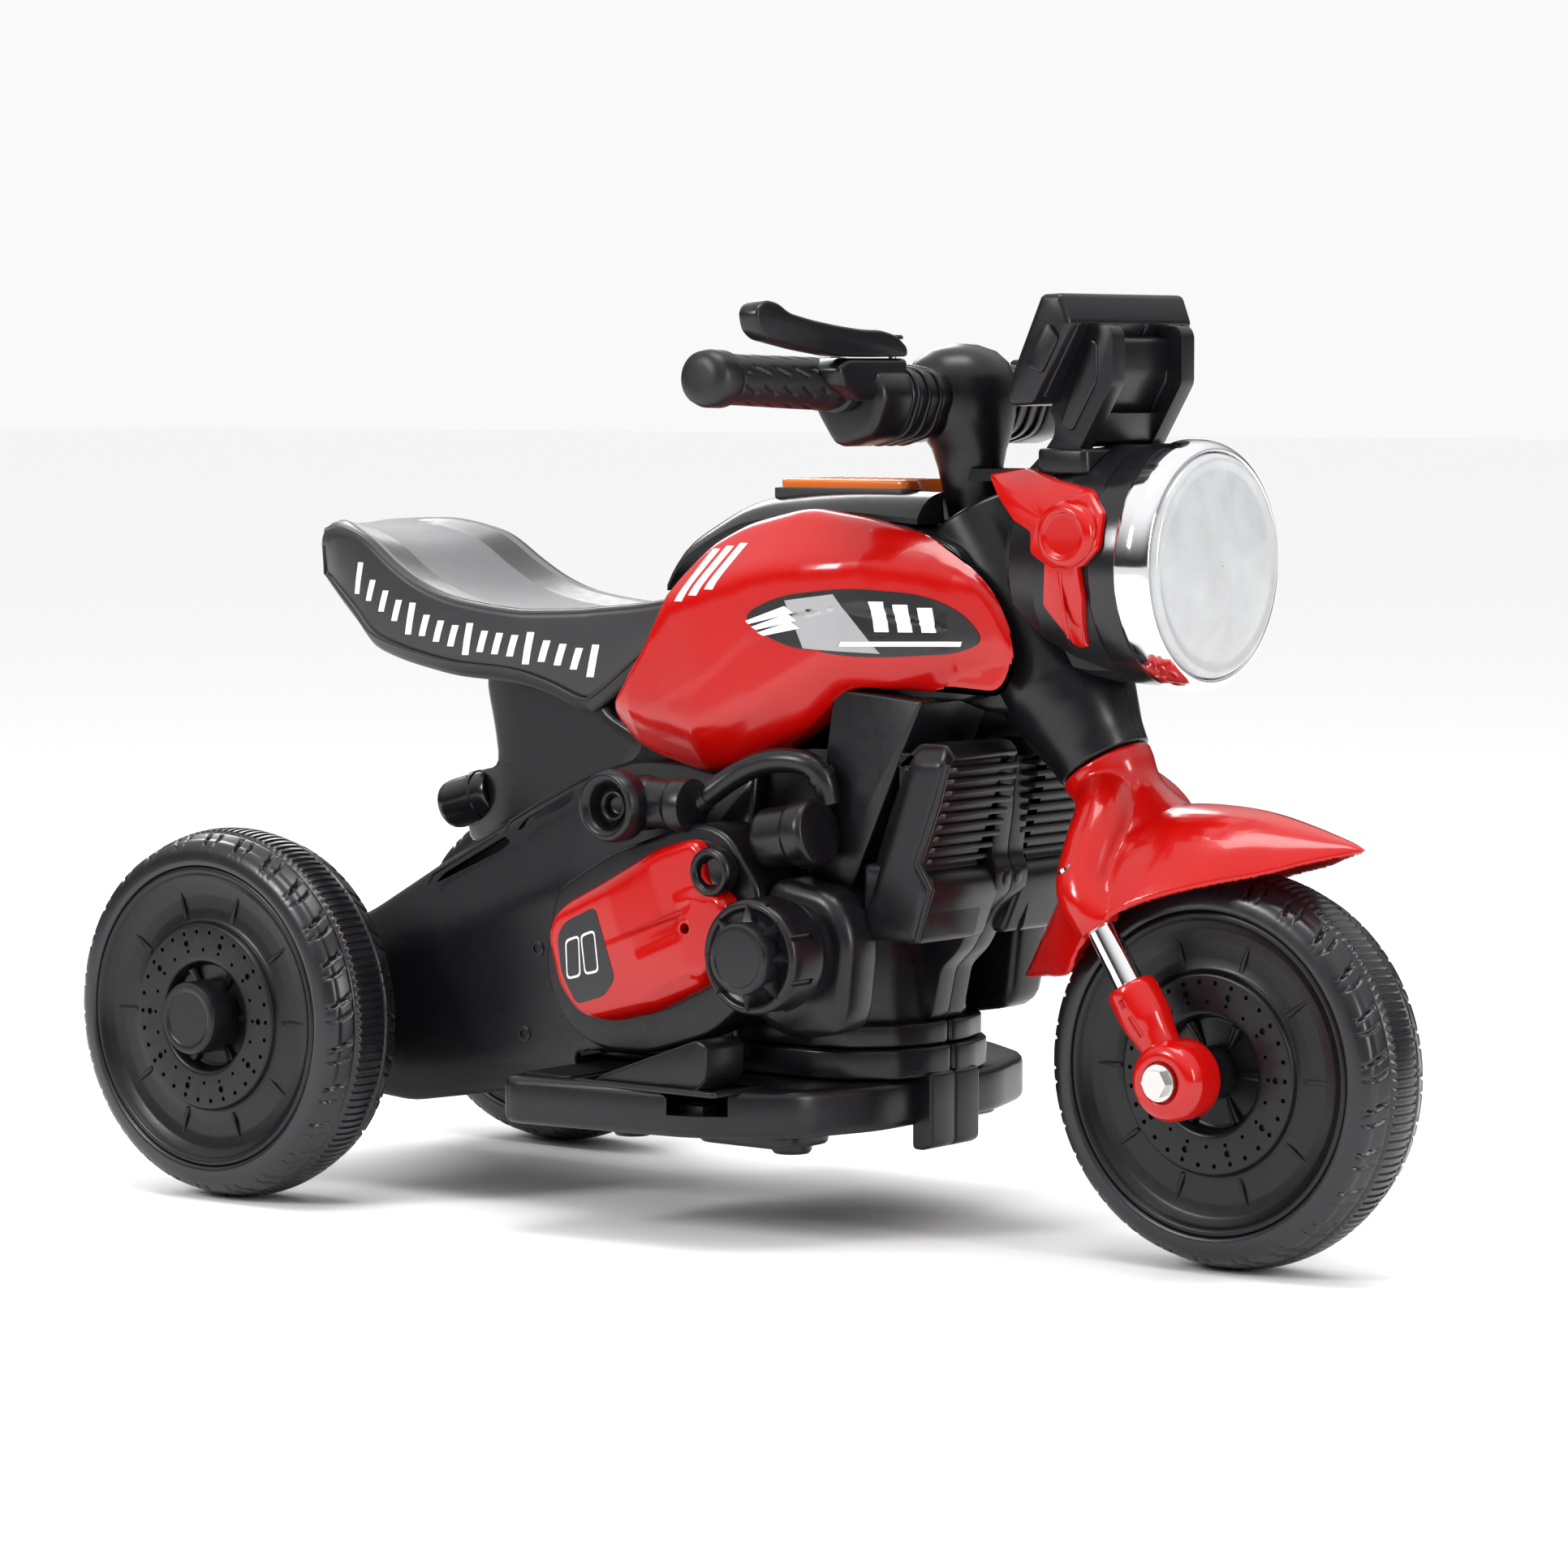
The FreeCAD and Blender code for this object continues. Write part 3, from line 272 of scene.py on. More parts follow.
def relief(outline, spine, base, depth, edge=5.0, rings=9):
    """A moulded cover on the right side: depth(x, z) is how far out it stands, over a rounded rim."""
    outline = [Vector(p) for p in outline]
    spine = [Vector(p) for p in spine]
    anchors = [nearest(p, spine) for p in outline]

    def inset(amount):
        moved = []
        for p, q in zip(outline, anchors):
            reach = (p - q).length
            moved.append(q + (p - q) * max(1 - amount / max(reach, 0.1), 0.06))
        return moved

    rows = [[Vector((p.x, -base, p.y)) for p in outline]]
    for k in range(6):
        angle = math.pi / 2 * k / 5
        row = []
        for p in inset(edge * (1 - math.cos(angle))):
            height = max(depth(p.x, p.y) - edge * (1 - math.sin(angle)), base)
            row.append(Vector((p.x, -height, p.y)))
        rows.append(row)
    start = inset(edge)
    for k in range(1, rings + 1):
        t = k / rings
        row = []
        for p, q in zip(start, anchors):
            p = q + (p - q) * (1 - 0.97 * t)
            row.append(Vector((p.x, -depth(p.x, p.y), p.y)))
        rows.append(row)
    return skin(rows)


def merged(forms):
    """One form made of several, not joined where they meet."""
    whole = bmesh.new()
    for form in forms:
        mesh = bpy.data.meshes.new("part")
        form.to_mesh(mesh)
        whole.from_mesh(mesh)
        bpy.data.meshes.remove(mesh)
    return whole


def mirrored(form):
    """The same form on the left side."""
    other = form.copy()
    for vert in other.verts:
        vert.co.y = -vert.co.y
    bmesh.ops.reverse_faces(other, faces=other.faces)
    return other


def both(*forms):
    """Forms on the right side, each with its mirror."""
    return [made for form in forms for made in (form, mirrored(form))]


def closed_sheet(outer, inner, weld=0.01):
    """Two open grids of points, one under the other, closed round their rim."""
    rims = []
    for grid in (outer, inner):
        rims.append(grid[0][:-1] + [row[-1] for row in grid[:-1]] + grid[-1][:0:-1]
                    + [row[0] for row in grid[:0:-1]])
    form = merged([skin(outer, ring=False, caps=False), skin(inner, ring=False, caps=False),
                   skin(rims, caps=False)])
    bmesh.ops.remove_doubles(form, verts=form.verts, dist=weld)
    return form


def scratch_object(form, name):
    """The form as an object that a modifier can work on."""
    bmesh.ops.recalc_face_normals(form, faces=form.faces)
    mesh = bpy.data.meshes.new(name)
    form.to_mesh(mesh)
    thing = bpy.data.objects.new(name, mesh)
    bpy.context.scene.collection.objects.link(thing)
    return thing


def discard(thing):
    """Removes a scratch object and its mesh."""
    mesh = thing.data
    bpy.data.objects.remove(thing)
    bpy.data.meshes.remove(mesh)


def modified(form, kind, **settings):
    """The form after one modifier."""
    thing = scratch_object(form, "worked_on")
    modifier = thing.modifiers.new("work", kind)
    for name, value in settings.items():
        setattr(modifier, name, value)
    graph = bpy.context.evaluated_depsgraph_get()
    mesh = bpy.data.meshes.new_from_object(thing.evaluated_get(graph))
    result = bmesh.new()
    result.from_mesh(mesh)
    bpy.data.meshes.remove(mesh)
    discard(thing)
    return result


def cut(form, cutters):
    """The form without its cutters: a list is taken away together, a tuple one after another."""
    for cutter in cutters if isinstance(cutters, tuple) else (merged(cutters),):
        tool = scratch_object(cutter, "cutter")
        form = modified(form, "BOOLEAN", operation="DIFFERENCE", object=tool, solver="EXACT")
        discard(tool)
    if not form.faces:
        raise ValueError("a cut left nothing")
    return form


def blended(forms, voxel, near, all_passes=3, near_passes=26):
    """The forms run together as one skin, with the surface relaxed most where near() says so."""
    form = modified(merged(forms), "REMESH", mode="VOXEL", voxel_size=voxel)
    chosen = [vert for vert in form.verts if near(vert.co)]
    for verts, passes in ((form.verts[:], all_passes), (chosen, near_passes)):
        for _ in range(passes):
            bmesh.ops.smooth_vert(form, verts=verts, factor=0.5, use_axis_x=True, use_axis_y=True,
                                  use_axis_z=True)
    return form


def half_of(form):
    """The right half of a form that crosses the middle plane."""
    geometry = form.verts[:] + form.edges[:] + form.faces[:]
    bmesh.ops.bisect_plane(form, geom=geometry, plane_co=(0, -HALF_GAP, 0), plane_no=(0, 1, 0),
                           clear_outer=True)
    bmesh.ops.holes_fill(form, edges=[e for e in form.edges if e.is_boundary])
    return form


def piece(name, forms, material, body, replaces=(), crease=32):
    """One visible piece made of forms, in metres, that rides on a body."""
    for form in forms:
        bmesh.ops.recalc_face_normals(form, faces=form.faces)
    whole = merged(forms)
    bmesh.ops.scale(whole, vec=(MM, MM, MM), verts=whole.verts)
    mesh = bpy.data.meshes.new(name)
    whole.to_mesh(mesh)
    mesh.polygons.foreach_set("use_smooth", [True] * len(mesh.polygons))
    mesh.set_sharp_from_angle(angle=math.radians(crease))
    mesh.materials.append(material)
    thing = bpy.data.objects.new(name, mesh)
    bpy.context.scene.collection.objects.link(thing)
    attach(thing, body)
    if replaces:
        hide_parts(*replaces)
    return thing


def piece_pair(name, forms, material, body, replaces=(), crease=32):
    """A piece on the right and its mirror on the left, with the side at the end of every name."""
    for side, made in (("right", forms), ("left", [mirrored(form) for form in forms])):
        nodes = [node + "_" + side for node in replaces]
        piece(name + "_" + side, made, material, body, nodes, crease)


# ---------------------------------------------------------------- print, laid on a form's right side

def laid_on(target):
    """A function that puts an (x, z) point on the form, standing out of it by so much."""
    tree = BVHTree.FromBMesh(target)

    def at(spot, out):
        return tree.ray_cast(Vector((spot.x, FAR_RIGHT, spot.y)), Y_AXIS)[0] - Y_AXIS * out

    return at


def patch(target, corners, lift=0.25, across=14, along=6):
    """A thin graphic with four corners, each (x, z)."""
    at = laid_on(target)
    a, b, c, d = (Vector(p) for p in corners)
    layers = []
    for out in (lift, -PRINT_ROOT):
        rows = []
        for i in range(along + 1):
            start, end = a.lerp(d, i / along), b.lerp(c, i / along)
            rows.append([at(start.lerp(end, j / across), out) for j in range(across + 1)])
        layers.append(rows)
    return closed_sheet(*layers)


def plaque(target, outline, centre, lift, rings=20):
    """A thin graphic of any outline, in rings round a centre."""
    at = laid_on(target)
    centre = Vector(centre)
    steps = [(1.0, -PLAQUE_ROOT)] + [(1 - k / (rings + 1), lift) for k in range(rings + 1)]
    return skin([[at(centre.lerp(Vector(p), scale), out) for p in outline] for scale, out in steps])


def outlined(target, corners, lift, width=1.3):
    """A rounded rectangle of print with an open middle."""
    at = laid_on(target)
    outer = rounded(corners, 3.0)
    centre = sum(outer, Vector((0, 0))) / len(outer)
    rows = []
    for inset, out in ((0, -PRINT_ROOT), (0, lift), (width / 2, lift), (width, lift), (width, -PRINT_ROOT)):
        rows.append([at(p + (centre - p).normalized() * inset, out) for p in outer])
    return skin(rows, loop=True)


def stripe(target, foot, length, width, lean):
    """A slanted bar of print, from its lower front corner."""
    foot, side = Vector(foot), Vector((width, 0))
    rise = Vector((math.cos(lean), math.sin(lean))) * length
    return patch(target, [foot, foot + side, foot + rise + side, foot + rise], across=4, along=12)


# ---------------------------------------------------------------- materials

def shader(name):
    """A new material, with what is needed to add to its nodes."""
    material = bpy.data.materials.new(name)
    material.use_nodes = True
    nodes, links = material.node_tree.nodes, material.node_tree.links
    return material, nodes, links, nodes["Principled BSDF"]


def noise(nodes, links, coords, scale, detail=3.0, roughness=0.5):
    """A noise pattern in the object's own coordinates."""
    texture = nodes.new("ShaderNodeTexNoise")
    texture.inputs["Scale"].default_value = scale
    texture.inputs["Detail"].default_value = detail
    texture.inputs["Roughness"].default_value = roughness
    links.new(coords, texture.inputs["Vector"])
    return texture.outputs["Fac"]


def mapped(nodes, links, value, low, high, from_low=0.0, from_high=1.0):
    """A value stretched to run from low to high."""
    band = nodes.new("ShaderNodeMapRange")
    band.inputs["From Min"].default_value = from_low
    band.inputs["From Max"].default_value = from_high
    band.inputs["To Min"].default_value = low
    band.inputs["To Max"].default_value = high
    links.new(value, band.inputs["Value"])
    return band.outputs["Result"]


def mottled(nodes, links, coords, colour, mottle):
    """A colour that wanders slowly round its mean."""
    blend = nodes.new("ShaderNodeMix")
    blend.data_type = "RGBA"
    blend.inputs["A"].default_value = [c * (1 - mottle) for c in colour] + [1]
    blend.inputs["B"].default_value = [min(c * (1 + mottle), 1) for c in colour] + [1]
    links.new(noise(nodes, links, coords, 45, 5), blend.inputs["Factor"])
    return blend.outputs["Result"]


def worn_edges(nodes, links, base, colour, wear):
    """The base colour, paler on sharp edges."""
    edge = nodes.new("ShaderNodeNewGeometry").outputs["Pointiness"]
    worn = nodes.new("ShaderNodeMix")
    worn.data_type = "RGBA"
    worn.inputs["B"].default_value = [min(c * 2.2 + 0.02, 1) for c in colour] + [1]
    links.new(mapped(nodes, links, edge, 0.0, wear, 0.52, 0.62), worn.inputs["Factor"])
    links.new(base, worn.inputs["A"])
    return worn.outputs["Result"]


def bumped(nodes, links, height, strength, distance):
    """A bump from a height, with its distance in millimetres."""
    bump = nodes.new("ShaderNodeBump")
    bump.inputs["Strength"].default_value = strength
    bump.inputs["Distance"].default_value = distance * MM
    links.new(height, bump.inputs["Height"])
    return bump


def moulded(name, colour, roughness, grain=0.02, grain_scale=2200, ripple=0.0, mottle=0.12, wear=0.0,
            gloss_spread=0.08, settings=()):
    """Moulded plastic or metal: mottled colour, uneven gloss, a fine grain and a slow ripple."""
    material, nodes, links, bsdf = shader(name)
    coords = nodes.new("ShaderNodeTexCoord").outputs["Object"]
    result = mottled(nodes, links, coords, colour, mottle)
    if wear:
        result = worn_edges(nodes, links, result, colour, wear)
    links.new(result, bsdf.inputs["Base Color"])
    gloss = noise(nodes, links, coords, 160, 6, 0.6)
    spread = mapped(nodes, links, gloss, max(roughness - gloss_spread, 0.02), roughness + gloss_spread)
    links.new(spread, bsdf.inputs["Roughness"])
    fine = bumped(nodes, links, noise(nodes, links, coords, grain_scale, 2), 0.6, grain)
    if ripple:
        slow = bumped(nodes, links, noise(nodes, links, coords, 70, 1), 0.5, ripple)
        links.new(slow.outputs["Normal"], fine.inputs["Normal"])
    links.new(fine.outputs["Normal"], bsdf.inputs["Normal"])
    for socket, value in settings:
        bsdf.inputs[socket].default_value = value
    return material


COAT = [("Coat Weight", 0.6), ("Coat Roughness", 0.06)]
BLACK = moulded("black_plastic", (0.0048, 0.0042, 0.0056), 0.3, 0.03, 1800, 0.05, 0.2, 0.12,
                settings=[("Specular IOR Level", 0.36)])
BLACK_GLOSS = moulded("black_gloss", (0.006, 0.0055, 0.007), 0.2, 0.01, 1800, 0.08, 0.2,
                      settings=[("Specular IOR Level", 0.45)])
GRAPHITE = moulded("graphite_plastic", (0.017, 0.016, 0.018), 0.42, 0.03, 1600, 0.05, 0.2,
                   settings=[("Specular IOR Level", 0.45)])
RED = moulded("red_plastic", (0.43, 0.0022, 0.0012), 0.2, 0.006, 900, 0.10, 0.06,
              settings=[("Coat Weight", 0.3), ("Coat Roughness", 0.05), ("Specular IOR Level", 0.32)])
TYRE = moulded("tyre_plastic", (0.0068, 0.0062, 0.008), 0.3, 0.04, 1500, 0.06, 0.25, 0.15,
               settings=[("Specular IOR Level", 0.5)])
HUB = moulded("hub_plastic", (0.0042, 0.0038, 0.0048), 0.34, 0.04, 1300, 0.05, 0.2,
              settings=[("Specular IOR Level", 0.34)])
# Painted light: the seat top gets a grey far paler than the seat side, standing in for the light that falls on the
# top from above.
SEAT_TOP_PAINTED_LIGHT = moulded("seat_top_painted_light", (0.135, 0.132, 0.137), 0.6, 0.05, 1100, 0.05, 0.08, settings=[
    ("Specular IOR Level", 0.35), ("Sheen Weight", 0.1), ("Sheen Roughness", 0.4)])
SEAT_SIDE = moulded("seat_side", (0.020, 0.019, 0.021), 0.38, 0.04, 1300, 0.05, 0.12,
                    settings=[("Specular IOR Level", 0.45)])
RUBBER = moulded("grip_rubber", (0.0055, 0.005, 0.0062), 0.4, 0.06, 1500, 0.0, 0.2,
                 settings=[("Specular IOR Level", 0.4)])
CHROME = moulded("chrome", (0.80, 0.80, 0.82), 0.07, 0.002, 900, 0.03, 0.03, gloss_spread=0.03,
                 settings=[("Metallic", 1.0)])
ZINC = moulded("zinc_steel", (0.58, 0.57, 0.55), 0.3, 0.01, 1500, 0.0, 0.1, 0.1,
               settings=[("Metallic", 1.0)])
NYLON = moulded("nylon", (0.72, 0.70, 0.64), 0.45, 0.01, 1500, settings=[("Subsurface Weight", 0.1)])
LENS = moulded("frosted_lens", (0.74, 0.75, 0.76), 0.16, 0.05, 420, 0.6, 0.22, settings=[
    ("Transmission Weight", 0.45), ("IOR", 1.49), ("Coat Weight", 0.4), ("Coat Roughness", 0.05)])
WHITE = moulded("white_print", (0.82, 0.82, 0.82), 0.4, 0.004, 1500, mottle=0.03)
GREY_PRINT = moulded("grey_print", (0.33, 0.33, 0.34), 0.35, 0.004, 1500, mottle=0.05)
DARK_PRINT = moulded("dark_print", (0.006, 0.006, 0.007), 0.3, 0.004, 1500, mottle=0.1)
ORANGE = moulded("orange_plastic", (0.78, 0.17, 0.012), 0.22, 0.01, 1200, 0.05, 0.08,
                 settings=COAT + [("Transmission Weight", 0.25), ("Subsurface Weight", 0.1)])
BATTERY = moulded("battery_case", (0.10, 0.10, 0.11), 0.4, 0.03, 1500)
BOARD = moulded("circuit_board", (0.02, 0.17, 0.06), 0.3, 0.02, 900, mottle=0.2)

SLOT_MATERIALS = {
    "black_plastic": BLACK, "red_plastic": RED, "wheel_plastic": TYRE, "hub_plastic": HUB,
    "zinc_steel": ZINC, "nylon": NYLON, "seat_plastic": SEAT_SIDE, "chrome": CHROME,
    "clear_lens": LENS, "white_plastic": WHITE, "orange_plastic": ORANGE, "battery_case": BATTERY,
    "circuit_board": BOARD,
}


def dress_cad_nodes():
    """Gives every CAD node that stays visible the material of its slot in the record."""
    for subpart in frame["record"]["subparts"]:
        mesh = frame["nodes"][subpart["node"]].data
        mesh.materials.clear()
        mesh.materials.append(SLOT_MATERIALS[subpart["material_slot"]])


# ---------------------------------------------------------------- wheels

def tyre_radius(y):
    """The tyre's radius across its width: a crown, then a round shoulder."""
    y = abs(y)
    crown_end, crown_drop = 21.0, 5.2
    if y <= crown_end:
        return WHEEL_RADIUS - 0.05 - crown_drop * (y / crown_end) ** 2
    t = (y - crown_end) / (TYRE_HALF_WIDTH - crown_end)
    return WHEEL_RADIUS - crown_drop - 11.2 * (1 - math.sqrt(max(1 - t * t, 0)))


def tread_cut(angle, y):
    """How deep the moulded tread is cut: ribs in the middle, a groove, and leaf slashes on the shoulder."""
    side, y = (1 if y > 0 else -1), abs(y)
    deep = 1.7 * ease(1.25 - abs(y - 11.6) / 1.5)
    if y < 10.4:
        wave = math.cos(140 * angle)
        deep += 1.0 * ease(0.5 + 1.3 * wave) * ease((10.4 - y) / 0.8)
    if 13.6 < y < 27.6:
        along = (y - 13.6) / 14
        arch = math.sin(math.pi * along)
        pitch = 2 * math.pi * WHEEL_RADIUS / 26
        turn = (angle * 26 / (2 * math.pi) + (0.5 if side > 0 else 0)) % 1
        for start, slant, bow in ((0.18, 7.5, 2.6), (0.34, 7.5, -2.6), (0.60, 5.0, 1.8)):
            gap = abs((turn - start) * pitch - slant * along - bow * arch)
            deep += 1.25 * ease(1.25 - gap / 1.0) * min(1, 2.2 * arch)
    return deep


def tyre(centre):
    """The tyre's tread from side to side, then its bore."""
    steps, across = 840, 64
    rows = []
    for j in range(across + 1):
        lean = math.sin(math.pi / 2 * (2 * j / across - 1))
        y = TYRE_HALF_WIDTH * (0.45 * lean + 0.55 * (2 * j / across - 1))

        def cuts(angle, y=y):
            return tyre_radius(y) - tread_cut(angle, y)

        rows.append(circle(centre + Y_AXIS * y, Y_AXIS, cuts, steps))
    for radius, y in ((85.5, 28.6), (84.4, 27.6), (84.2, 0), (84.4, -27.6), (85.5, -28.6)):
        rows.append(circle(centre + Y_AXIS * y, Y_AXIS, radius, steps))
    return skin(rows, loop=True)


def hub_face(centre, outward):
    """Half a moulded wheel centre, seen from its outer side."""
    profile = [(AXLE_BORE, 0.2), (84, 0.2), (84.2, 26.8), (83.4, 27.8), (82, 28.2), (80.6, 27.6), (79, 25.4),
               (75, 22.6), (68, 21.4), (60, 21.6), (54.5, 22.6), (53, 23.6), (52, 26.6), (51, 27.2),
               (33, 27.2), (31.2, 26.6), (30, 24), (29.2, 19.5), (27.6, 18.3), (AXLE_BORE + 1, 18.3),
               (AXLE_BORE, 17.8)]
    disc = lathe(rounded(profile, 0.8, steps=2), centre, outward, 128, loop=True)
    holes = []
    for ring, count, radius in ((47.5, 30, 1.3), (42.0, 10, 1.9), (37.5, 20, 1.1)):
        for spot in circle(centre, outward, ring, count):
            holes.append(lathe([(radius, 25.2), (radius, 29)], spot, outward, 10))
    disc = cut(disc, holes)
    forms = [disc]
    for inner, outer in zip(circle(centre, outward, 56, 10), circle(centre, outward, 73, 10)):
        path = [inner + outward * 21.8, inner.lerp(outer, 0.35) + outward * 22.3, outer + outward * 21.4]
        forms.append(swept(path, [1.5, 1.3, 0.4], 10))
    for inner, outer in zip(circle(centre, outward, 15, 6), circle(centre, outward, 29, 6)):
        forms.append(swept([inner + outward * 18.4, outer + outward * 20.2], [1.6, 3.0], 12))
    return forms


def barrel(centre, outward, radius, end):
    """The sleeve on the axle, inside a wheel."""
    profile = [(AXLE_BORE, 17), (radius, 17), (radius, end - 0.8), (radius - 0.8, end), (AXLE_BORE, end)]
    return lathe(profile, centre, outward, 48, loop=True)


def rear_hub_cap(centre, side):
    """The round cap in the middle of a rear wheel."""
    profile = [(18, 18.4), (20.2, 18.4), (20.4, 20), (20.4, 37.6), (19.9, 39.4), (18.6, 40.5), (16.8, 40.7),
               (15.4, 40.3), (14.6, 39.6), (0, 39.6)]
    return lathe(profile, centre, Y_AXIS * side, 72)


def build_wheels():
    """The three tyres with their wheel centres, and the rear caps."""
    wheels = [("front_tyre", "front_hub", "front_wheel", FRONT_WHEEL, (42.5, 42.5))]
    for name, side in (("right", -1), ("left", 1)):
        centre = Vector((REAR_WHEEL.x, side * abs(REAR_WHEEL.y), WHEEL_RADIUS))
        ends = (21.3, 28.7) if side < 0 else (28.7, 21.3)
        wheels.append(("rear_tyre_" + name, "rear_hub_" + name, "rear_wheel_" + name, centre, ends))
        piece("wheel_cap_" + name, [rear_hub_cap(centre, side)], HUB, "rear_wheel_" + name,
              ["hub_cap_" + name])
    for tyre_node, hub_node, body, centre, ends in wheels:
        piece("moulded_" + tyre_node, [tyre(centre)], TYRE, body, [tyre_node], 50)
        forms = []
        for outward, end in ((-Y_AXIS, ends[0]), (Y_AXIS.copy(), ends[1])):
            forms += hub_face(centre, outward) + [barrel(centre, outward, 14, end)]
        piece("moulded_" + hub_node, forms, HUB, body, [hub_node])


# ---------------------------------------------------------------- tank, seat

TANK_OUTLINE = [(-80, 280), (-69, 262), (-50, 254), (-13, 246), (19, 253), (51, 270), (84, 297),
                (138, 295), (172, 294), (181, 310), (178, 328), (168, 347), (152, 362), (126, 377),
                (89, 386), (49, 391), (8, 382), (-15, 370), (-31, 352), (-47, 318), (-64, 298)]
TANK_SPINE = [(-56, 280), (-10, 292), (40, 330), (100, 342), (145, 328)]
TANK_PLAN = [(-90, 62), (-60, 71), (-10, 78), (66, 78), (85, 75.5), (105, 70), (125, 61), (140, 54),
             (165, 49), (190, 45.6)]
TANK_TOP_CREASE = [(-60, 330), (-10, 346), (40, 360), (100, 364), (180, 352)]
TANK_LOW_CREASE = [(-90, 284), (-50, 276), (-10, 270), (30, 284), (70, 306), (100, 317), (180, 317)]


def tank_depth(x, z):
    """How far out the tank's side stands: a flank, a shoulder above it and a tucked-in facet below."""
    flank = between(x, TANK_PLAN)
    shoulder = flank - 0.80 * (z - between(x, TANK_TOP_CREASE))
    facet = flank - 0.62 * (between(x, TANK_LOW_CREASE) - z)
    return max(soft_min([flank, shoulder, facet], 1.6), 45.6)


def tank_cover():
    """The right tank cover, without its print."""
    outline = rounded(TANK_OUTLINE, 9, steps=4)
    return relief(outline, TANK_SPINE, 45.4, tank_depth, 5.0, 16)


def build_tank():
    """The red covers with three bars and a badge of plain shapes."""
    cover = tank_cover()
    lean = math.radians(62)
    bars = [stripe(cover, (-24 + 11 * i, 340 + 3.5 * i), 32 - 2 * i, 6.0, lean) for i in range(3)]
    field = rounded([(22, 333), (50, 345), (93, 350), (130, 347), (152, 337), (164, 323), (146, 316),
                     (100, 313), (50, 319)], 14, steps=5)
    badge = plaque(cover, field, (95, 331), 0.6, 30)
    band = patch(cover, [(66, 317.5), (108, 315.5), (84, 346.5), (54, 342.5)], 1.05, 20, 20)
    top_lift = 1.5
    marks = [patch(cover, [(28 + 4 * i, 331 - 3 * i), (30 + 5 * i, 329.4 - 3 * i), (60 + 2 * i, 336 - 4 * i),
                           (54 + 2 * i, 339.5 - 4 * i)], top_lift, 8, 24) for i in range(3)]
    marks += [patch(cover, [(106 + 12 * i, 327), (113 + 12 * i, 327), (111 + 12 * i, 343 - 1.5 * i),
                            (104 + 12 * i, 343 - 1.5 * i)], top_lift, 8, 16) for i in range(3)]
    marks.append(patch(cover, [(88, 319), (150, 320), (151, 322.6), (89, 321.6)], top_lift, 32, 3))
    piece_pair("tank_shell", [cover], RED, "frame", ["tank_cover"])
    piece_pair("tank_bars", bars, WHITE, "frame")
    piece_pair("tank_badge", [badge], DARK_PRINT, "frame")
    piece_pair("tank_badge_band", [band], GREY_PRINT, "frame")
    piece_pair("tank_badge_marks", marks, WHITE, "frame")


def build_tank_top():
    """The black panel between the tank covers, with the horn button in its pocket."""
    crest = [(-54, 352), (-46, 371), (-27, 383), (-4, 393.5), (21, 397.5), (60, 399.6), (116, 400)]
    floor = [(-54, 346), (-46, 358), (-27, 370), (-4, 380), (21, 384), (60, 388), (116, 385)]
    half = 44.8
    rows = []
    for top, low in zip(smooth(crest, steps=5), smooth(floor, steps=5)):
        row = []
        for k in range(25):
            y = -half * math.cos(math.pi * k / 24)
            lift = 1 - abs(y / half) ** 5
            row.append(Vector((top.x, y, low.y + 1 + (top.y - low.y - 1) * lift)))
        row += [Vector((top.x, y, low.y - 2)) for y in (half, 15, -15, -half)]
        rows.append(row)
    pocket_rim = rounded([(3.6, -27.4), (97, -27.4), (97, 27.4), (3.6, 27.4)], 8, steps=5)
    pocket = rounded([(6.7, -24.3), (93.8, -24.3), (93.8, 24.3), (6.7, 24.3)], 6, steps=5)
    room = plate(pocket, 394.6, 425, 0.1)
    stem_room = lathe([(STEM_ROOM, 130), (STEM_ROOM, 200)], COLLAR, STEER_UP, 64)
    panel = cut(skin(rows), (room, stem_room))
    rim = cut(plate(pocket_rim, 395, 400.9, 0.8), (room, stem_room))
    piece("tank_spine_panel", [panel], BLACK_GLOSS, "frame", ["tank_top_panel"])
    piece("tank_pocket_rim", [rim], GRAPHITE, "frame")
    pad = rounded([(7, -24), (93.5, -24), (93.5, 24), (7, 24)], 6, steps=5)
    button = cut(plate(pad, 397.4, 405.6, 1.8), (stem_room,))
    ribs = [plate(rounded([(x, -17), (x + 3, -17), (x + 3, 17), (x, 17)], 1.4, steps=3), 404.3, 405.9, 0.6)
            for x in range(18, 80, 8)]
    piece("horn_pad", [button] + ribs, ORANGE, "horn_button", ["horn_button"])


SEAT_STATIONS = [
    # x, top z, lower z, half-width
    (-341, 359, 352, 5), (-338, 366, 349, 13), (-334, 371, 346.8, 19), (-328, 374.6, 344.6, 26.6),
    (-320, 376.6, 342.6, 35), (-310, 377.4, 340.6, 43.6), (-300, 377.8, 337.4, 50.6),
    (-287, 377.3, 331, 57.4),
    (-270, 373, 319.5, 62.4), (-256, 367, 308, 64.8), (-236, 354, 301.5, 66.3), (-215, 343.5, 297, 66.5),
    (-190, 336.5, 293, 66), (-152, 332, 290.5, 64), (-128, 332, 284.5, 61), (-106, 333, 276, 58),
    (-96, 334, 279, 56.5), (-70, 336.5, 299, 53.5), (-48, 340, 316, 51.5), (-34, 343, 330, 50)]
def seat_edge(x, top, low, half):
    """The radius of the seat's top edge, which grows towards the tail."""
    return min(5 + 9 * ease((-262 - x) / 50), 0.42 * (top - low), 0.4 * half)


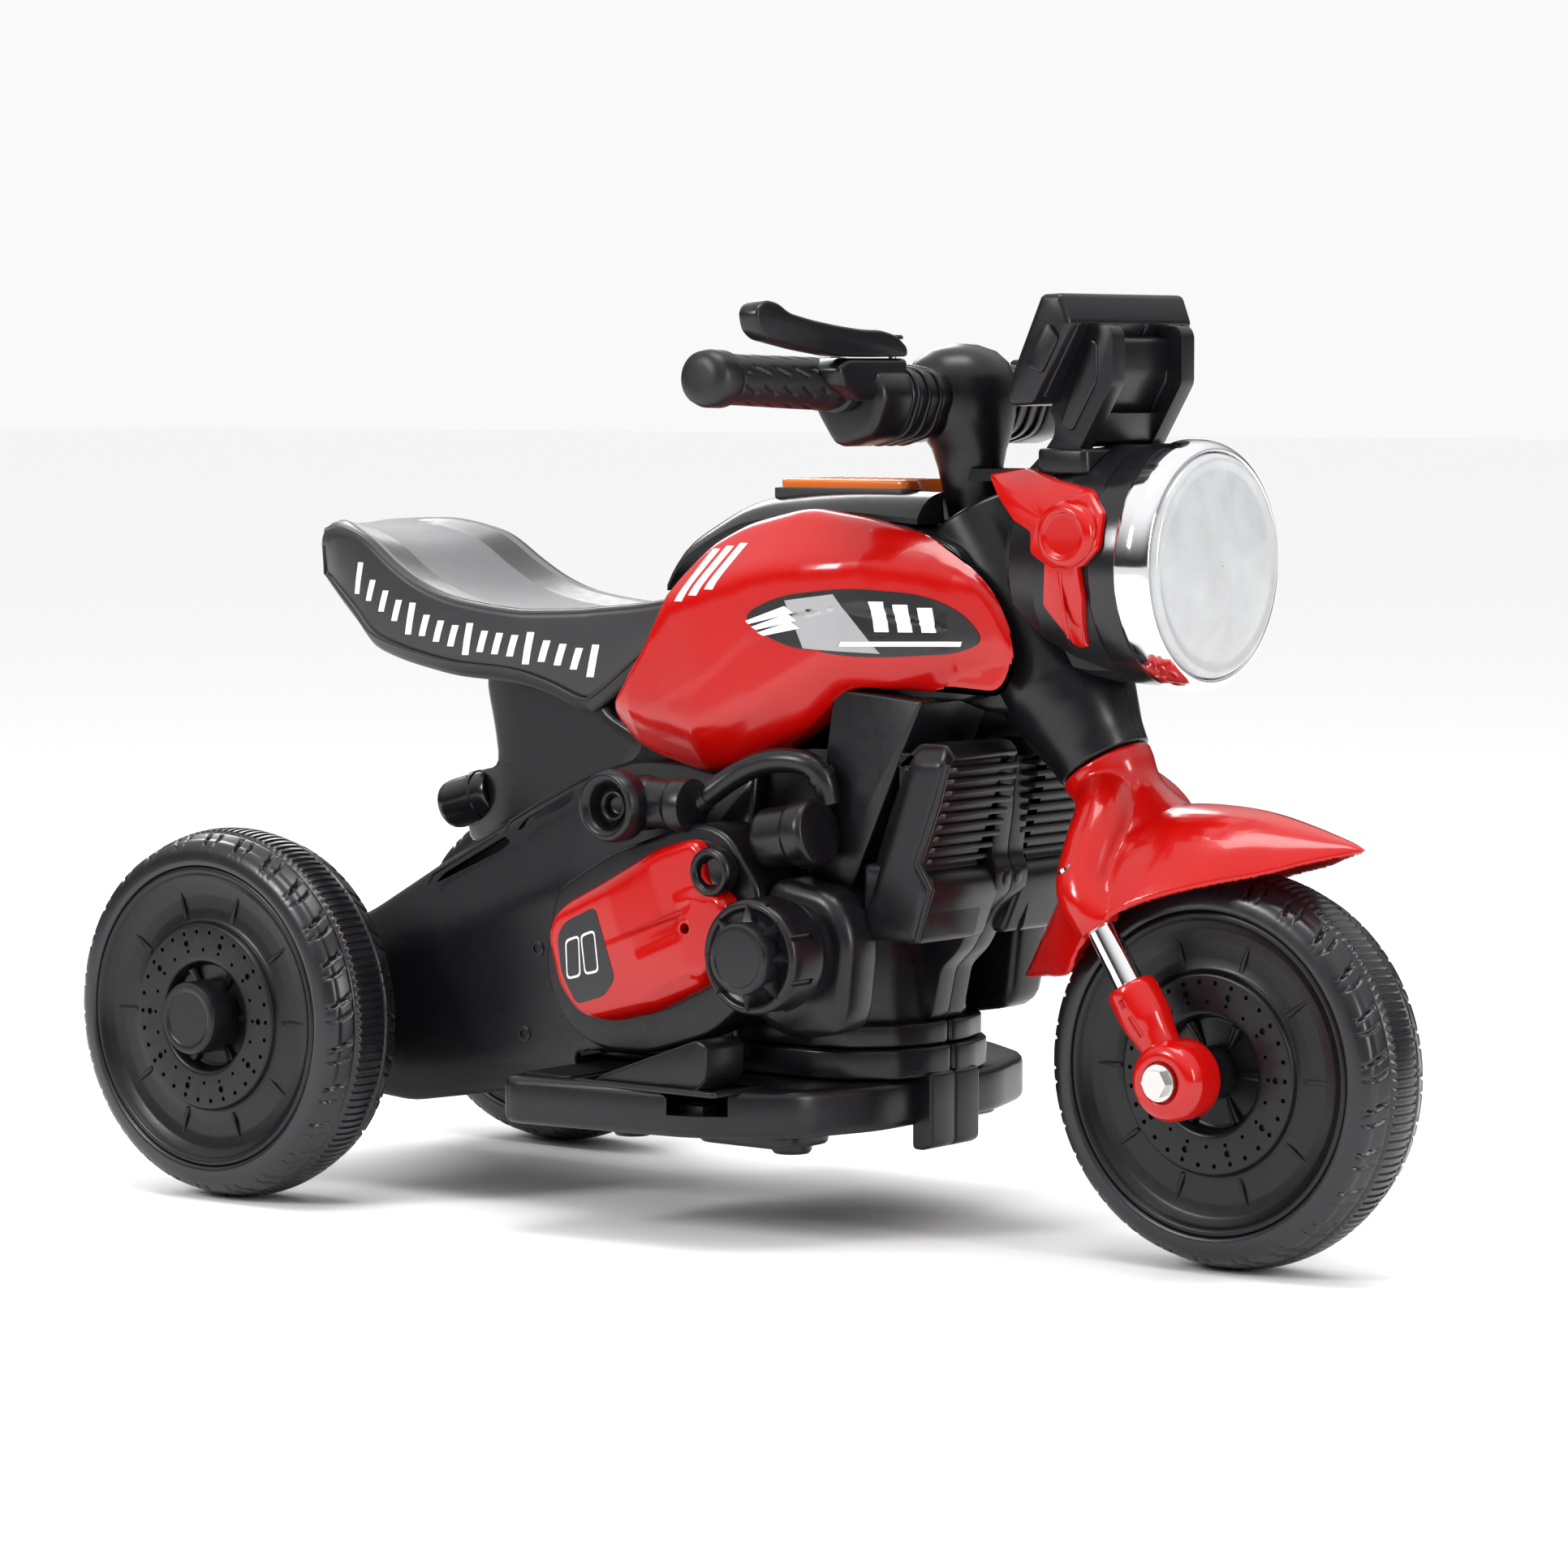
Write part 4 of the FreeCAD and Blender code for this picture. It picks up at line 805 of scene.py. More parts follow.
def seat_row(x, top, low, half):
    """The seat's section: a dished top, a rounded edge, and a side that tucks in below."""
    dish = 5.5 * ease((half - 20) / 40)
    height = top - low
    edge = seat_edge(x, top, low, half)
    flat = half - edge
    section = [(0, top - dish), (0.4 * flat, top - dish * 0.85), (0.7 * flat, top - dish * 0.45),
               (0.9 * flat, top - dish * 0.1), (flat, top)]
    for k in range(1, 6):
        turn = math.pi / 2 * k / 5
        section.append((flat + edge * math.sin(turn), top - edge * (1 - math.cos(turn))))
    section += [(half - 0.3, top - 0.5 * height), (half - 1.2, top - 0.75 * height),
                (half - min(3.0, 0.2 * half), low + min(2.5, height * 0.12)),
                (half - min(5.5, 0.4 * half), low),
                (half * 0.4, low + min(4, height * 0.2)), (0, low + min(6, height * 0.25))]
    points = [Vector((x, -y, z)) for y, z in section]
    points += [Vector((x, y, z)) for y, z in reversed(section[1:-1])]
    return points


def seat_lines():
    """The stations with smooth curves drawn through them."""
    curves = [smooth([(station[0], station[k]) for station in SEAT_STATIONS], steps=4) for k in (1, 2, 3)]
    return [(top.x, top.y, low.y, half.y) for top, low, half in zip(*curves)]


def build_seat():
    """The saddle, its piping, its top painted paler as painted light from above, and a row of slanted dashes on
    each side.
    """
    lines = seat_lines()
    form = skin([seat_row(*line) for line in lines])
    piece("saddle", [form], SEAT_SIDE, "frame", ["seat"], 40)
    piece("saddle_piping", seat_piping(lines), GRAPHITE, "frame")
    # The paler top skin is painted light from above.
    piece("saddle_top_painted_light", [seat_top_painted_light(lines)], SEAT_TOP_PAINTED_LIGHT, "frame", (), 60)
    dashes = []
    for i in range(17):
        x = -270 + 10.5 * i
        foot = between(x, [(line[0], line[2]) for line in lines])
        crest = between(x, [(line[0], line[1]) for line in lines])
        z, tall = foot + (crest - foot) * 0.5, 9.0 if i % 4 == 0 else 6.0
        corners = [(x, z - tall), (x + 4.6, z - tall), (x + 9, z + tall), (x + 4.4, z + tall)]
        dashes.append(patch(form, corners, 0.3, 4, 10))
    piece("seat_dashes", both(*dashes), WHITE, "frame")


def seat_piping(lines):
    """A bead along the top edge, and a raised line along the side near its lower edge."""
    bead = []
    for x, top, low, half in lines[2:]:
        turn = 0.3 * seat_edge(x, top, low, half)
        bead.append(Vector((x, -(half - turn), top - turn)))
    start, end = lines[20], lines[-5]
    path = [Vector((start[0] - 1, -(start[3] - 0.6), start[1] - 14))]
    for x, top, low, half in lines[20:-4]:
        path.append(Vector((x, -(half - 0.3), low + 7.5 * ease((x + 345) / 45))))
    path.append(Vector((end[0] + 3, -(end[3] - 0.5), end[1] - 4)))
    return both(swept(bead, 1.0, 10), swept(path, 0.9, 8))


def seat_top_painted_light(lines):
    """The skin in the dished top, painted paler than the sides as painted light from above."""
    grid = []
    for x, top, low, half in lines[6:-1]:
        dish, flat = 5.5 * ease((half - 20) / 40), half - seat_edge(x, top, low, half)
        row = []
        for k in range(-10, 11):
            sag = dish * (1 - abs(k / 10) ** 2.1)
            row.append(Vector((x, (flat - 0.5) * k / 10, top - sag + 0.35)))
        grid.append(row)
    return closed_sheet(grid, [[p - Z_AXIS * 1.2 for p in row] for row in grid])


# ---------------------------------------------------------------- frame moulding

def build_body():
    """The black frame moulding, in a right and a left half."""
    piece_pair("frame_half", rear_arm() + seat_post() + engine_block() + front_members(), BLACK, "frame",
               ["body_shell"])


def rear_arm():
    """The wide arm to the rear axle, with its two rimmed slots and its screws."""
    outline = rounded([(-318, 78), (-318, 122), (-296, 142), (-254, 158), (-201, 190), (-144, 220),
                       (-108, 239), (-73, 251), (-22, 254), (20, 254), (20, 92), (-91, 92),
                       (-91, 68), (-156, 62), (-229, 50), (-300, 56)], 8, steps=3)
    crease = [(-320, 104), (-241, 133), (-179, 153), (-131, 172), (-96, 185), (20, 200)]

    def arm_depth(x, z):
        return max(soft_min([79.8, 80 - 0.42 * (z - between(x, crease)), 80 - 0.5 * (84 - z)], 1.0), 40)

    arm = relief(outline, [(-285, 96), (-210, 115), (-120, 145), (-30, 170)], HALF_GAP, arm_depth, 4, 18)
    slots = [slab(rounded(points, 2, steps=2), -90, -58, 0.2) for points in
             ([(-205, 176), (-200, 182), (-157, 205), (-151, 202), (-157, 197)],
              [(-149, 208), (-144, 215), (-112, 232), (-105, 233), (-112, 225)])]
    axle_room = lathe([(10.6, 60), (10.6, 90)], Vector((REAR_WHEEL.x, 0, WHEEL_RADIUS)), -Y_AXIS, 48)
    arm = cut(arm, (slots[0], slots[1], axle_room))
    rims = [swept([Vector(p) for p in path], [0.5, 0.9, 0.5], 8) for path in
            ([(-206, -72.5, 175), (-203, -71, 181.5), (-156, -70.5, 206.5)],
             [(-149.5, -71.5, 208), (-146, -70, 214.5), (-110, -69.5, 234.5)])]
    screws = [lathe([(4.5, -1), (4.5, 0.6), (3.6, 1.2), (2.2, 1.2), (2.0, 0.2), (0, 0.2)],
                    Vector((x, -79.8, z)), -Y_AXIS, 20) for x, z in ((-232, 92), (-128, 98), (-118, 146))]
    return [arm] + screws + rims


def seat_post():
    """The post that rises from the arm to the seat."""
    outline = rounded([(-191, 289), (-182, 262), (-178, 242), (-208, 236), (-214, 222), (-210, 196),
                       (-163, 205), (-90, 225), (-62, 262), (-92, 276), (-104, 300), (-186, 304)], 8, steps=3)

    def depth(x, z):
        return soft_min([49.8, 50 - 0.35 * (-166 - x)], 2)

    return [relief(outline, [(-150, 285), (-140, 225)], HALF_GAP, depth, 6, 8)]


def engine_block():
    """Four steps of one plan, rounded at the front, from the wide foot to the narrow head."""
    plan = [(-88, 61), (58, 61), (78, 56), (96, 38), (103.6, 14), (104.4, 0.2), (-88, 0.2)]
    blocks = []
    for low, high, grow in ((86.8, 103, 4.0), (103.5, 116, 2.0), (112, 166, -4.0), (160, 262, -12.0)):
        points = [(x + (grow if x > 0 else 0), -(y + (grow if y > 1 else 0))) for x, y in plan]
        blocks.append(plate(rounded(points, 6), low, high, 2.0))
    return blocks


def front_members():
    """Everything near the middle plane in front: nose, strap, down tube, tank core, gusset and head tube."""
    members = [
        # corners, corner radius, half-width, edge radius
        ([(80, 262), (149, 262), (146.5, 230), (143, 208), (147, 199), (145, 188), (134, 177),
          (121, 155), (110, 145), (104, 118), (80, 100)], 4, 14, 2),
        ([(96, 89.2), (109.5, 89.2), (109.5, 50), (104, 47), (96, 47)], 3, 21.7, 1.6),
        ([(74, 296), (54, 165), (74, 165), (132, 291)], 3, 62, 6),
        ([(-64, 280), (-56, 262), (-20, 252), (30, 258), (84, 290), (150, 291), (172, 305), (160, 345),
          (140, 372), (108, 383), (50, 387), (-8, 367), (-30, 345), (-46, 315)], 6, 45, 2)]
    forms = [slab(rounded(points, corner, steps=3), -half, -HALF_GAP, edge)
             for points, corner, half, edge in members]
    gusset = rounded([(96, 362), (120, 384), (160, 334), (196, 300), (192, 284), (150, 284), (110, 296)], 6)
    forms.append(slab(gusset, -30, -HALF_GAP, 4))
    tube = rounded([(12, 0.6), (24.4, 0.6), (25.5, 1.8), (27, 12), (33, 32), (36, 48), (36, 148), (34.5, 150),
                    (12, 150)], 3, steps=3)
    forms.append(half_of(lathe(tube, COLLAR, STEER_UP, 96, loop=True)))
    return forms


def build_platform():
    """The board with its pedal pocket, treads, the tray below it and four feet."""
    side = [(-86, 152), (34, 137), (82, 104), (100, 52)]
    outline = rounded(side + [(x, -y) for x, y in reversed(side)], 14, steps=6)
    board = plate(outline, 60, 86, 5)
    pocket = plate([(-36, -138.5), (52, -138.5), (52, -101.5), (-36, -101.5)], 72, 92, 0.1)
    board = cut(board, [pocket])
    frame_rim = cut(plate(rounded([(-41, -142.5), (57, -142.5), (57, -97.5), (-41, -97.5)], 4), 84, 87, 0.8),
                    [pocket])
    pads = [plate(rounded([(-72, 117), (20, 117), (20, 136), (-72, 136)], 4), 85.5, 87, 0.5)]
    pads += [plate(rounded([(-78, -139), (-46, -139), (-46, -96), (-78, -96)], 4), 85.5, 87, 0.5)]
    ribs = [plate([(x, 119), (x + 3, 119), (x + 3, 134), (x, 134)], 86.4, 86.95, 0.2)
            for x in range(-68, 18, 7)]
    under = [plate(rounded([(-66, y - 26), (-10, y - 26), (-10, y + 26), (-66, y + 26)], 12), 54, 62, 3)
             for y in (-70, 70)]
    under += [plate(rounded([(6, y - 22), (70, y - 22), (70, y + 22), (6, y + 22)], 12), 52, 62, 3)
              for y in (-76, 76)]
    feet = [lathe([(11, 62), (11, 49), (9.5, 47), (4, 47), (4, 49), (0, 49)], Vector((x, y, 0)), Z_AXIS, 32)
            for x in (-58, 52) for y in (-70, 70)]
    forms = [board, frame_rim] + pads + ribs + under + feet
    piece("footboards", forms, BLACK, "frame", ["base_platform"])


def build_pedal():
    """The ribbed wedge on the right footboard."""
    outline = rounded([(-30, 79.5), (-31, 86), (-24, 90), (40, 113), (47, 110), (46, 92), (40, 86),
                       (-22, 78.5)], 2.5, steps=3)
    wedge = slab(outline, -136.3, -103.7, 1.2)
    ribs = []
    for i in range(6):
        x, z = -16 + 9.5 * i, 92.6 + 3.42 * i
        ribs.append(slab([(x, z - 1), (x + 3, z), (x + 3, z + 1.6), (x, z + 0.6)], -133, -107, 0.3))
    pin_room = lathe([(PIN_BORE, -150), (PIN_BORE, -95)], Vector((-26, 0, 82)), Y_AXIS, 24)
    piece("pedal_wedge", [cut(wedge, [pin_room])] + ribs, BLACK, "foot_pedal",
          ["foot_pedal"])


# ---------------------------------------------------------------- engine dress-up

KNOB_AT = Vector((70, 0, 158))


def build_engine_cases():
    """The black cases behind the red covers, and a collar round each knob."""
    outline = rounded([(-99, 140), (-91, 118), (-79, 105), (-56, 96), (-22, 97), (20, 110),
                       (45, 130), (52, 190), (30, 219), (10, 224), (-50, 205), (-90, 182)], 9)

    def flat_side(x, z):
        return 97.8

    case = relief(outline, [(-60, 145), (0, 165)], 62.5, flat_side, 3, 4)
    case = cut(case, [lathe([(31.6, 60), (31.6, 110)], KNOB_AT, -Y_AXIS, 64)])
    collar = rounded([(40, 122), (64, 110), (102, 116), (108, 168), (96, 190), (52, 198)], 14)
    collar = slab(collar, -92, -62.3, 7)
    piece("engine_casings", both(case, collar), BLACK, "frame", ["engine_cases"])


def shield_depth(x, z):
    """A crowned rear part, a step down, a raised inner panel, and facets along the lower and upper sides."""
    crown = 111.9 - 0.0003 * ((x + 25) ** 2 + 2 * (z - 160) ** 2)
    step = ease((x + 0.45 * (z - 165) + 14) / 3.5)
    shelf = 108.4 + 0.03 * (165 - z)
    inner = 3.0 * ease((x - 0.3 * (z - 160) - 2) / 4) * ease((z - 140) / 5) * ease((190 - z) / 6)
    lower = 112.6 - 0.9 * (132 + 0.25 * x - z)
    upper = 112.6 - 0.75 * (z - (180 + 0.46 * (x + 50)))
    return soft_min([crown * (1 - step) + (shelf + inner) * step, lower, upper], 0.7)


def build_engine_shields():
    """The red engine covers, each with a screw hole and a dark field that holds two empty frames."""
    outline = rounded([(-86, 159), (-78, 175), (-49, 190), (-15, 209), (14, 216), (22, 205), (23, 194),
                       (40, 183), (32, 154), (23, 138), (-15, 120), (-44, 113), (-64, 116), (-78, 131)], 7)
    cover = relief(outline, [(-60, 150), (-20, 165), (15, 180)], 98.2, shield_depth, 4.5, 26)
    hole_at, hole = Vector((12, 0, 168)), 3.0
    cover = cut(cover, [lathe([(hole, 90), (hole, 120)], hole_at, -Y_AXIS, 24)])
    wall = rounded([(hole, 100), (hole, 111.4), (hole + 1.8, 111.4), (hole + 1.8, 100)], 0.6)
    hole_wall = lathe(wall, hole_at, -Y_AXIS, 32, loop=True)
    field = rounded([(-77, 158), (-72, 166), (-50, 176), (-44, 160), (-36, 138), (-44, 128), (-64, 122),
                     (-74, 138)], 4, steps=3)
    frames = [outlined(cover, [(-70 + 13 * i, 135 + 3.4 * i), (-60 + 13 * i, 137.4 + 3.4 * i),
                               (-61 + 11 * i, 160 + 3.6 * i), (-71 + 11 * i, 156.6 + 3.6 * i)], 0.55)
              for i in range(2)]
    piece_pair("engine_shield", [cover, hole_wall], RED, "frame", ["engine_cover"], 24)
    piece_pair("engine_shield_field", [plaque(cover, field, (-58, 150), 0.25)], DARK_PRINT, "frame")
    piece_pair("engine_shield_marks", frames, WHITE, "frame")


def build_star_knobs():
    """Thick round knobs with eight ridges in a dished face, round a flat cap."""
    out, count = -Y_AXIS, 8
    drum = lathe(rounded([(0, 62.5), (27, 62.5), (27, 101), (0, 101)], 1.5, False, 3), KNOB_AT, out)
    profile = rounded([(0, 97), (24, 97), (28.5, 100), (30.8, 106), (31, 124), (30.4, 128.6), (28.6, 130.6),
                       (26.4, 130.4), (24.6, 128.4), (20, 127), (0, 127)], 1.4, False, 3)
    notches = [lathe([(2.2, 112), (2.2, 134)], spot, out, 12)
               for spot in circle(KNOB_AT, out, 31.9, 2 * count)[1::2]]
    disc = cut(lathe(profile, KNOB_AT, out, 96), notches)
    ridges = []
    for tip, root in zip(circle(KNOB_AT, out, 28.6, count), circle(KNOB_AT, out, 17, count)):
        across = (tip - root).normalized().cross(Y_AXIS)
        rows = []
        for point, half, top in ((root, 6.2, 135), (root.lerp(tip, 0.55), 3.2, 133.4), (tip, 0.8, 131.2)):
            foot = point + out * 125
            rows.append([foot + across * half, point + out * top, foot - across * half])
        ridges.append(skin(rows))
    cap = lathe([(19, 126), (19.2, 136.5), (18.6, 138.4), (17.2, 139.4), (15.4, 139.6), (14.6, 138.8),
                 (0, 139.2)], KNOB_AT, out)
    piece_pair("star_knob", [drum, disc, cap] + ridges, BLACK, "frame", ["side_knob"], 26)


def build_side_parts():
    """The cup, horn, pipe and cylinder details on both sides of the engine."""
    cup_at = Vector((-38, 0, 231))
    cup = rounded([(0, 80.3), (15, 80.3), (15.5, 100), (19.4, 103), (20, 112), (18.2, 117.6), (15.4, 118),
                   (12.6, 115.4), (11, 109), (9.4, 107.4), (8.6, 110.6), (7.2, 111.6), (5.6, 110), (5, 106),
                   (0, 105.6)], 1.3, False, 3)
    cup = lathe(cup, cup_at, -Y_AXIS)
    barrel_form = lathe(rounded([(0, 0), (14, 0), (14.5, 10), (13.4, 12), (13.4, 26), (14.6, 28), (14.6, 38),
                                 (0, 38)], 1.0, False, 2), Vector((-34, -94, 232)), X_AXIS, 48)
    piece("reservoir_cups", both(cup, barrel_form), BLACK, "frame", ["reservoirs"])
    lean = (X_AXIS + Z_AXIS * 0.16).normalized()
    pot = lathe(rounded([(0, 0), (14.5, 0), (16.4, 3), (16.4, 22), (18.2, 24), (18.6, 34), (17, 37), (0, 37)],
                        1.6, False, 3), Vector((44, -82, 215.5)), lean, 56)
    ring_at = Vector((28, 0, 199))
    ring = lathe(rounded([(0, 62.5), (8, 62.5), (9.5, 98), (12.8, 102), (13.4, 109), (12.2, 111.4), (10, 112),
                          (8.2, 110), (7.6, 104), (0, 103)], 1.2, False, 3), ring_at, -Y_AXIS)
    piece("intake_horns", both(pot, ring), BLACK, "frame", ["intakes"])
    path = smooth([(-8, -88, 231), (2, -84, 235), (17, -79, 246), (33, -77, 254), (50, -76, 257.5),
                   (66, -74, 256), (74, -71, 248), (76, -68, 236)])
    pipe = swept(path, 6.6, 28)
    sleeves = [swept([path[i], path[i + 1], path[i + 2]], 7.8, 28) for i in (5, 34)]
    piece("crossover_pipes", both(pipe, *sleeves), BLACK, "frame",
          ["side_pipes"])
    start, out = Vector((-184, -34, 227.7)), Vector((-39, 0, -11)).normalized()
    tail = rounded([(11, 2), (13.6, 2), (14, 6), (14, 34), (13.2, 38), (11.4, 38.4), (10.8, 36), (10.8, 6)],
                   1, steps=2)
    tail = lathe(tail, start, out, 48, loop=True)
    band = lathe([(13.6, 12), (14.8, 13), (14.8, 17), (13.6, 18)], start, out, 48)
    piece("tail_pipe_pair", both(tail, band), BLACK_GLOSS, "frame", ["tail_pipes"])


def build_shrouds():
    """The finned cylinder covers in front of the engine: a smooth side, a chamfer and a ribbed front."""
    outline = rounded([(136, 269), (122, 254), (111, 233), (102, 207), (96.5, 186), (94, 168), (100, 164),
                       (137, 164), (145, 194), (138, 205), (150, 239), (155, 262), (150, 269)], 4)
    front_line = [(160, 133), (168, 136), (194, 144), (205, 137), (239, 149.5), (262, 155), (270, 150)]

    def depth(x, z):
        back = 97 + 0.36 * (z - 168)
        slopes = (0, 0.8 * (back + 6 - x), 0.5 * (172 - z), 0.9 * (z - 260))
        return soft_min([74.2 - slope for slope in slopes], 1.0)

    shell = relief(outline, [(116, 180), (122, 205), (136, 245)], 22.2, depth, 3.4, 10)
    slats = []
    for i in range(9):
        z = 206 + 6.1 * i
        nose = between(z, front_line)
        slat = [(126, -70), (nose - 1, -70), (nose + 3.5, -64), (nose + 4, -9), (126, -9)]
        slats.append(plate(rounded(slat, 2.0, steps=3), z, z + 3.0, 0.6))
    backing = slab(rounded([(120, 264), (150, 264), (146, 239), (134, 205), (120, 205)], 2), -66, -9, 1)
    chin = rounded([(100, 166), (134, 163.5), (145.5, 190), (144.5, 199), (137, 205), (100, 205)], 4)
    chin = slab(chin, -71, -9, 4)
    crown = slab(rounded([(118, 256), (152, 258), (157, 263), (151, 269.5), (134, 269.5)], 3), -66, -9, 3)
    chamfer = swept([Vector((154.5, -70.5, 260)), Vector((149, -71.5, 239)), Vector((137, -72, 207)),
                     Vector((144.5, -71, 194)), Vector((136, -71.5, 166))], [2.2, 2.6, 2.6, 2.4, 1.4], 12)
    clip = lathe([(0, 0), (6, 0), (6.6, 2), (6, 5), (4, 6.4), (0, 7)], Vector((140, -5, 196)), X_AXIS, 24)
    piece("finned_shrouds", both(shell, chamfer, backing, chin, crown, clip, *slats), BLACK, "frame",
          ["cylinder_shrouds"])


# ---------------------------------------------------------------- steering parts

MUDGUARD = [
    # ridge x, ridge z, edge x, edge z, half-width
    (366, 221.6, 365, 220.8, 1.5), (358, 225, 356, 219, 10), (346, 228.5, 342, 215.5, 21),
    (330, 233, 324, 210, 33), (308, 238, 296, 203.5, 48), (285, 240.5, 268, 195, 58),
    (258, 240, 249, 186.5, 61), (232, 234, 237, 177, 61), (209, 221, 228, 167, 58),
    (190, 197, 217, 154.5, 51), (174, 171, 199, 149.5, 36), (162, 152.5, 180, 146.5, 19),
    (154.5, 142.6, 157, 142, 2)]


def mudguard():
    """An arched shell over the wheel, pointed at both ends, with a soft ridge."""
    stations = smooth([Vector(s[:3]) for s in MUDGUARD], steps=5)
    rest = smooth([Vector((s[3], s[4], 0)) for s in MUDGUARD], steps=5)
    hub = Vector((FRONT_WHEEL.x, 0, FRONT_WHEEL.z))
    across = 14
    outer, inner = [], []
    for a, b in zip(stations, rest):
        ridge, edge, half = Vector((a.x, 0, a.y)), Vector((a.z, 0, b.x)), b.y
        row = []
        for k in range(-across, across + 1):
            u = abs(k) / across
            fall = 0.16 * u + 0.84 * u ** 2.6
            row.append(ridge.lerp(edge, fall) + Y_AXIS * (half * math.copysign(u ** 0.92, k)))
        outer.append(row)
        inward = (hub - ridge).normalized()
        thick = min(2.6, half * 0.4)
        inner.append([p + inward * thick + Y_AXIS * (-0.04 * p.y) for p in row])
    return closed_sheet(outer, inner, 0.02)


def build_fork():
    """The red crown and mudguard as one moulding, with a shoulder down to each fork leg."""
    column = rounded([(0, -0.4), (24.4, -0.4), (25, -1.2), (24.4, -8), (22.6, -16), (23, -24), (27, -34),
                      (34, -46), (0, -48)], 2, False, 3)
    taper = [(0, 15), (0.35, 16), (0.7, 14), (1, 11.0)]
    shoulders, paths = [], []
    for side in (-1, 1):
        out = Y_AXIS * side
        path = smooth([up_steering(-14) + out * 10, up_steering(-32) + out * 28,
                       fork_point(114, side) - out * 5, fork_point(98, side), fork_point(88, side)], steps=5)
        radii = [between(i / (len(path) - 1), taper) for i in range(len(path))]
        shoulders.append(swept(path, radii, 32))
        paths.append(path)

    def near(point):
        reach = min((point - spot).length for path in paths for spot in path)
        collar_height = (point - COLLAR).dot(STEER_UP)
        return 9 < reach < 26 and collar_height < -9 and abs(point.y) < 57

    whole = blended([lathe(column, COLLAR, STEER_UP, 72), mudguard()] + shoulders, 0.9, near)
    piece("fork_and_mudguard", [whole], RED, "steering", ["fork_crown"], 50)


def build_fork_feet():
    """The red sleeves on the fork rods, and the round bosses on the front axle."""
    tube = rounded([(7.8, 4), (11, 4), (10.8, 20), (11.6, 27), (13.2, 34), (13.5, 40), (13.5, 51),
                    (12.4, 54.4), (7.8, 54.4)], 1.6, steps=3)
    dome = rounded([(5, 43.2), (19, 43.2), (21, 46), (21, 62), (18.5, 67.6), (15.4, 69.6), (11, 69.8),
                    (10.6, 68.6), (5, 68.6)], 1.6, steps=3)
    feet = []
    for side in (-1, 1):
        foot, out = fork_point(0, side), Y_AXIS * side
        slot_short = swept([foot + STEER_UP * 43 + out * 14.4, foot + STEER_UP * 48 + out * 14.4], 2.6, 16)
        slot_long = swept([foot + STEER_UP * 26 + out * 12.4, foot + STEER_UP * 38 + out * 14.6], 2.0, 16)
        feet.append(cut(lathe(tube, foot, STEER_UP, 56, loop=True), (slot_short, slot_long)))
        feet.append(lathe(dome, Vector((FRONT_WHEEL.x, 0, FRONT_WHEEL.z)), out, 64, loop=True))
    piece("fork_feet", feet, RED, "steering", ["fork_ends"])


def build_handlebar():
    """The stem with its clamp, the switch housings, perches, grips and levers."""
    sections = [(127.5, 372, 16, 13), (123, 385, 16.6, 13), (120, 398, 17.2, 13.4), (118, 412, 18.6, 15),
                (117, 422, 21, 18), (115, 431, 25, 24), (112.5, 440, 28.4, 29), (111.5, 450, 29.4, 30.4),
                (111.5, 460, 28.4, 30), (111.6, 468, 24.6, 27), (111.8, 474, 17.5, 20.5), (112, 477.4, 8, 9.4),
                (112, 478, 1, 1)]
    stem = skin([ellipse(*section) for section in sections])
    room = lathe([(8.2, 130), (8.2, 176)], COLLAR, STEER_UP, 32)
    forms = [cut(stem, [room])]
    outline = [(80, 446), (88, 461), (100, 467), (122, 464), (128, 451), (120, 430), (96, 423)]
    middle = Vector((104, 447))

    def housing(scale, y_low, y_high, edge, side):
        points = [middle + (Vector(p) - middle) * scale for p in outline]
        return slab(rounded(points, 8, steps=5), *sorted((side * y_low, side * y_high)), edge)

    for side in (-1, 1):
        forms += [housing(0.96, 18, 62, 3, side), housing(1.02, 60, 90, 5, side)]
        forms += [housing(1.03, y, y + 5, 1.2, side) for y in (34, 44, 54)]
        perch = [(60, 470.1), (112, 470.1), (121, 465), (117, 456), (100, 448), (62, 448)]
        rows = [[Vector((x, side * y, z)) for y, z in rounded(perch, 4)] for x in (99, 122)]
        forms.append(softened(skin(rows), 3))
    piece("bar_clamp", forms, BLACK, "steering", ["handlebar_cover"])
    screw = lathe([(3.6, 12), (3.6, 14), (2.4, 14.4), (0, 14.2)], Vector((113, 0, 417)), -Y_AXIS, 20)
    cross = swept([Vector((110.6, -14.5, 417)), Vector((115.4, -14.5, 417))], 0.5, 8)
    piece("stem_screws", both(screw, cross), ZINC, "steering")
    for name, side in (("right", -1), ("left", 1)):
        build_grip(name, side)
        build_lever(name, side)


def bar_point(y, side):
    """A point on the handlebar's centre line."""
    return Vector((108 - 0.1875 * (y - 60), side * y, 455 + (y - 60) * 5 / 128))


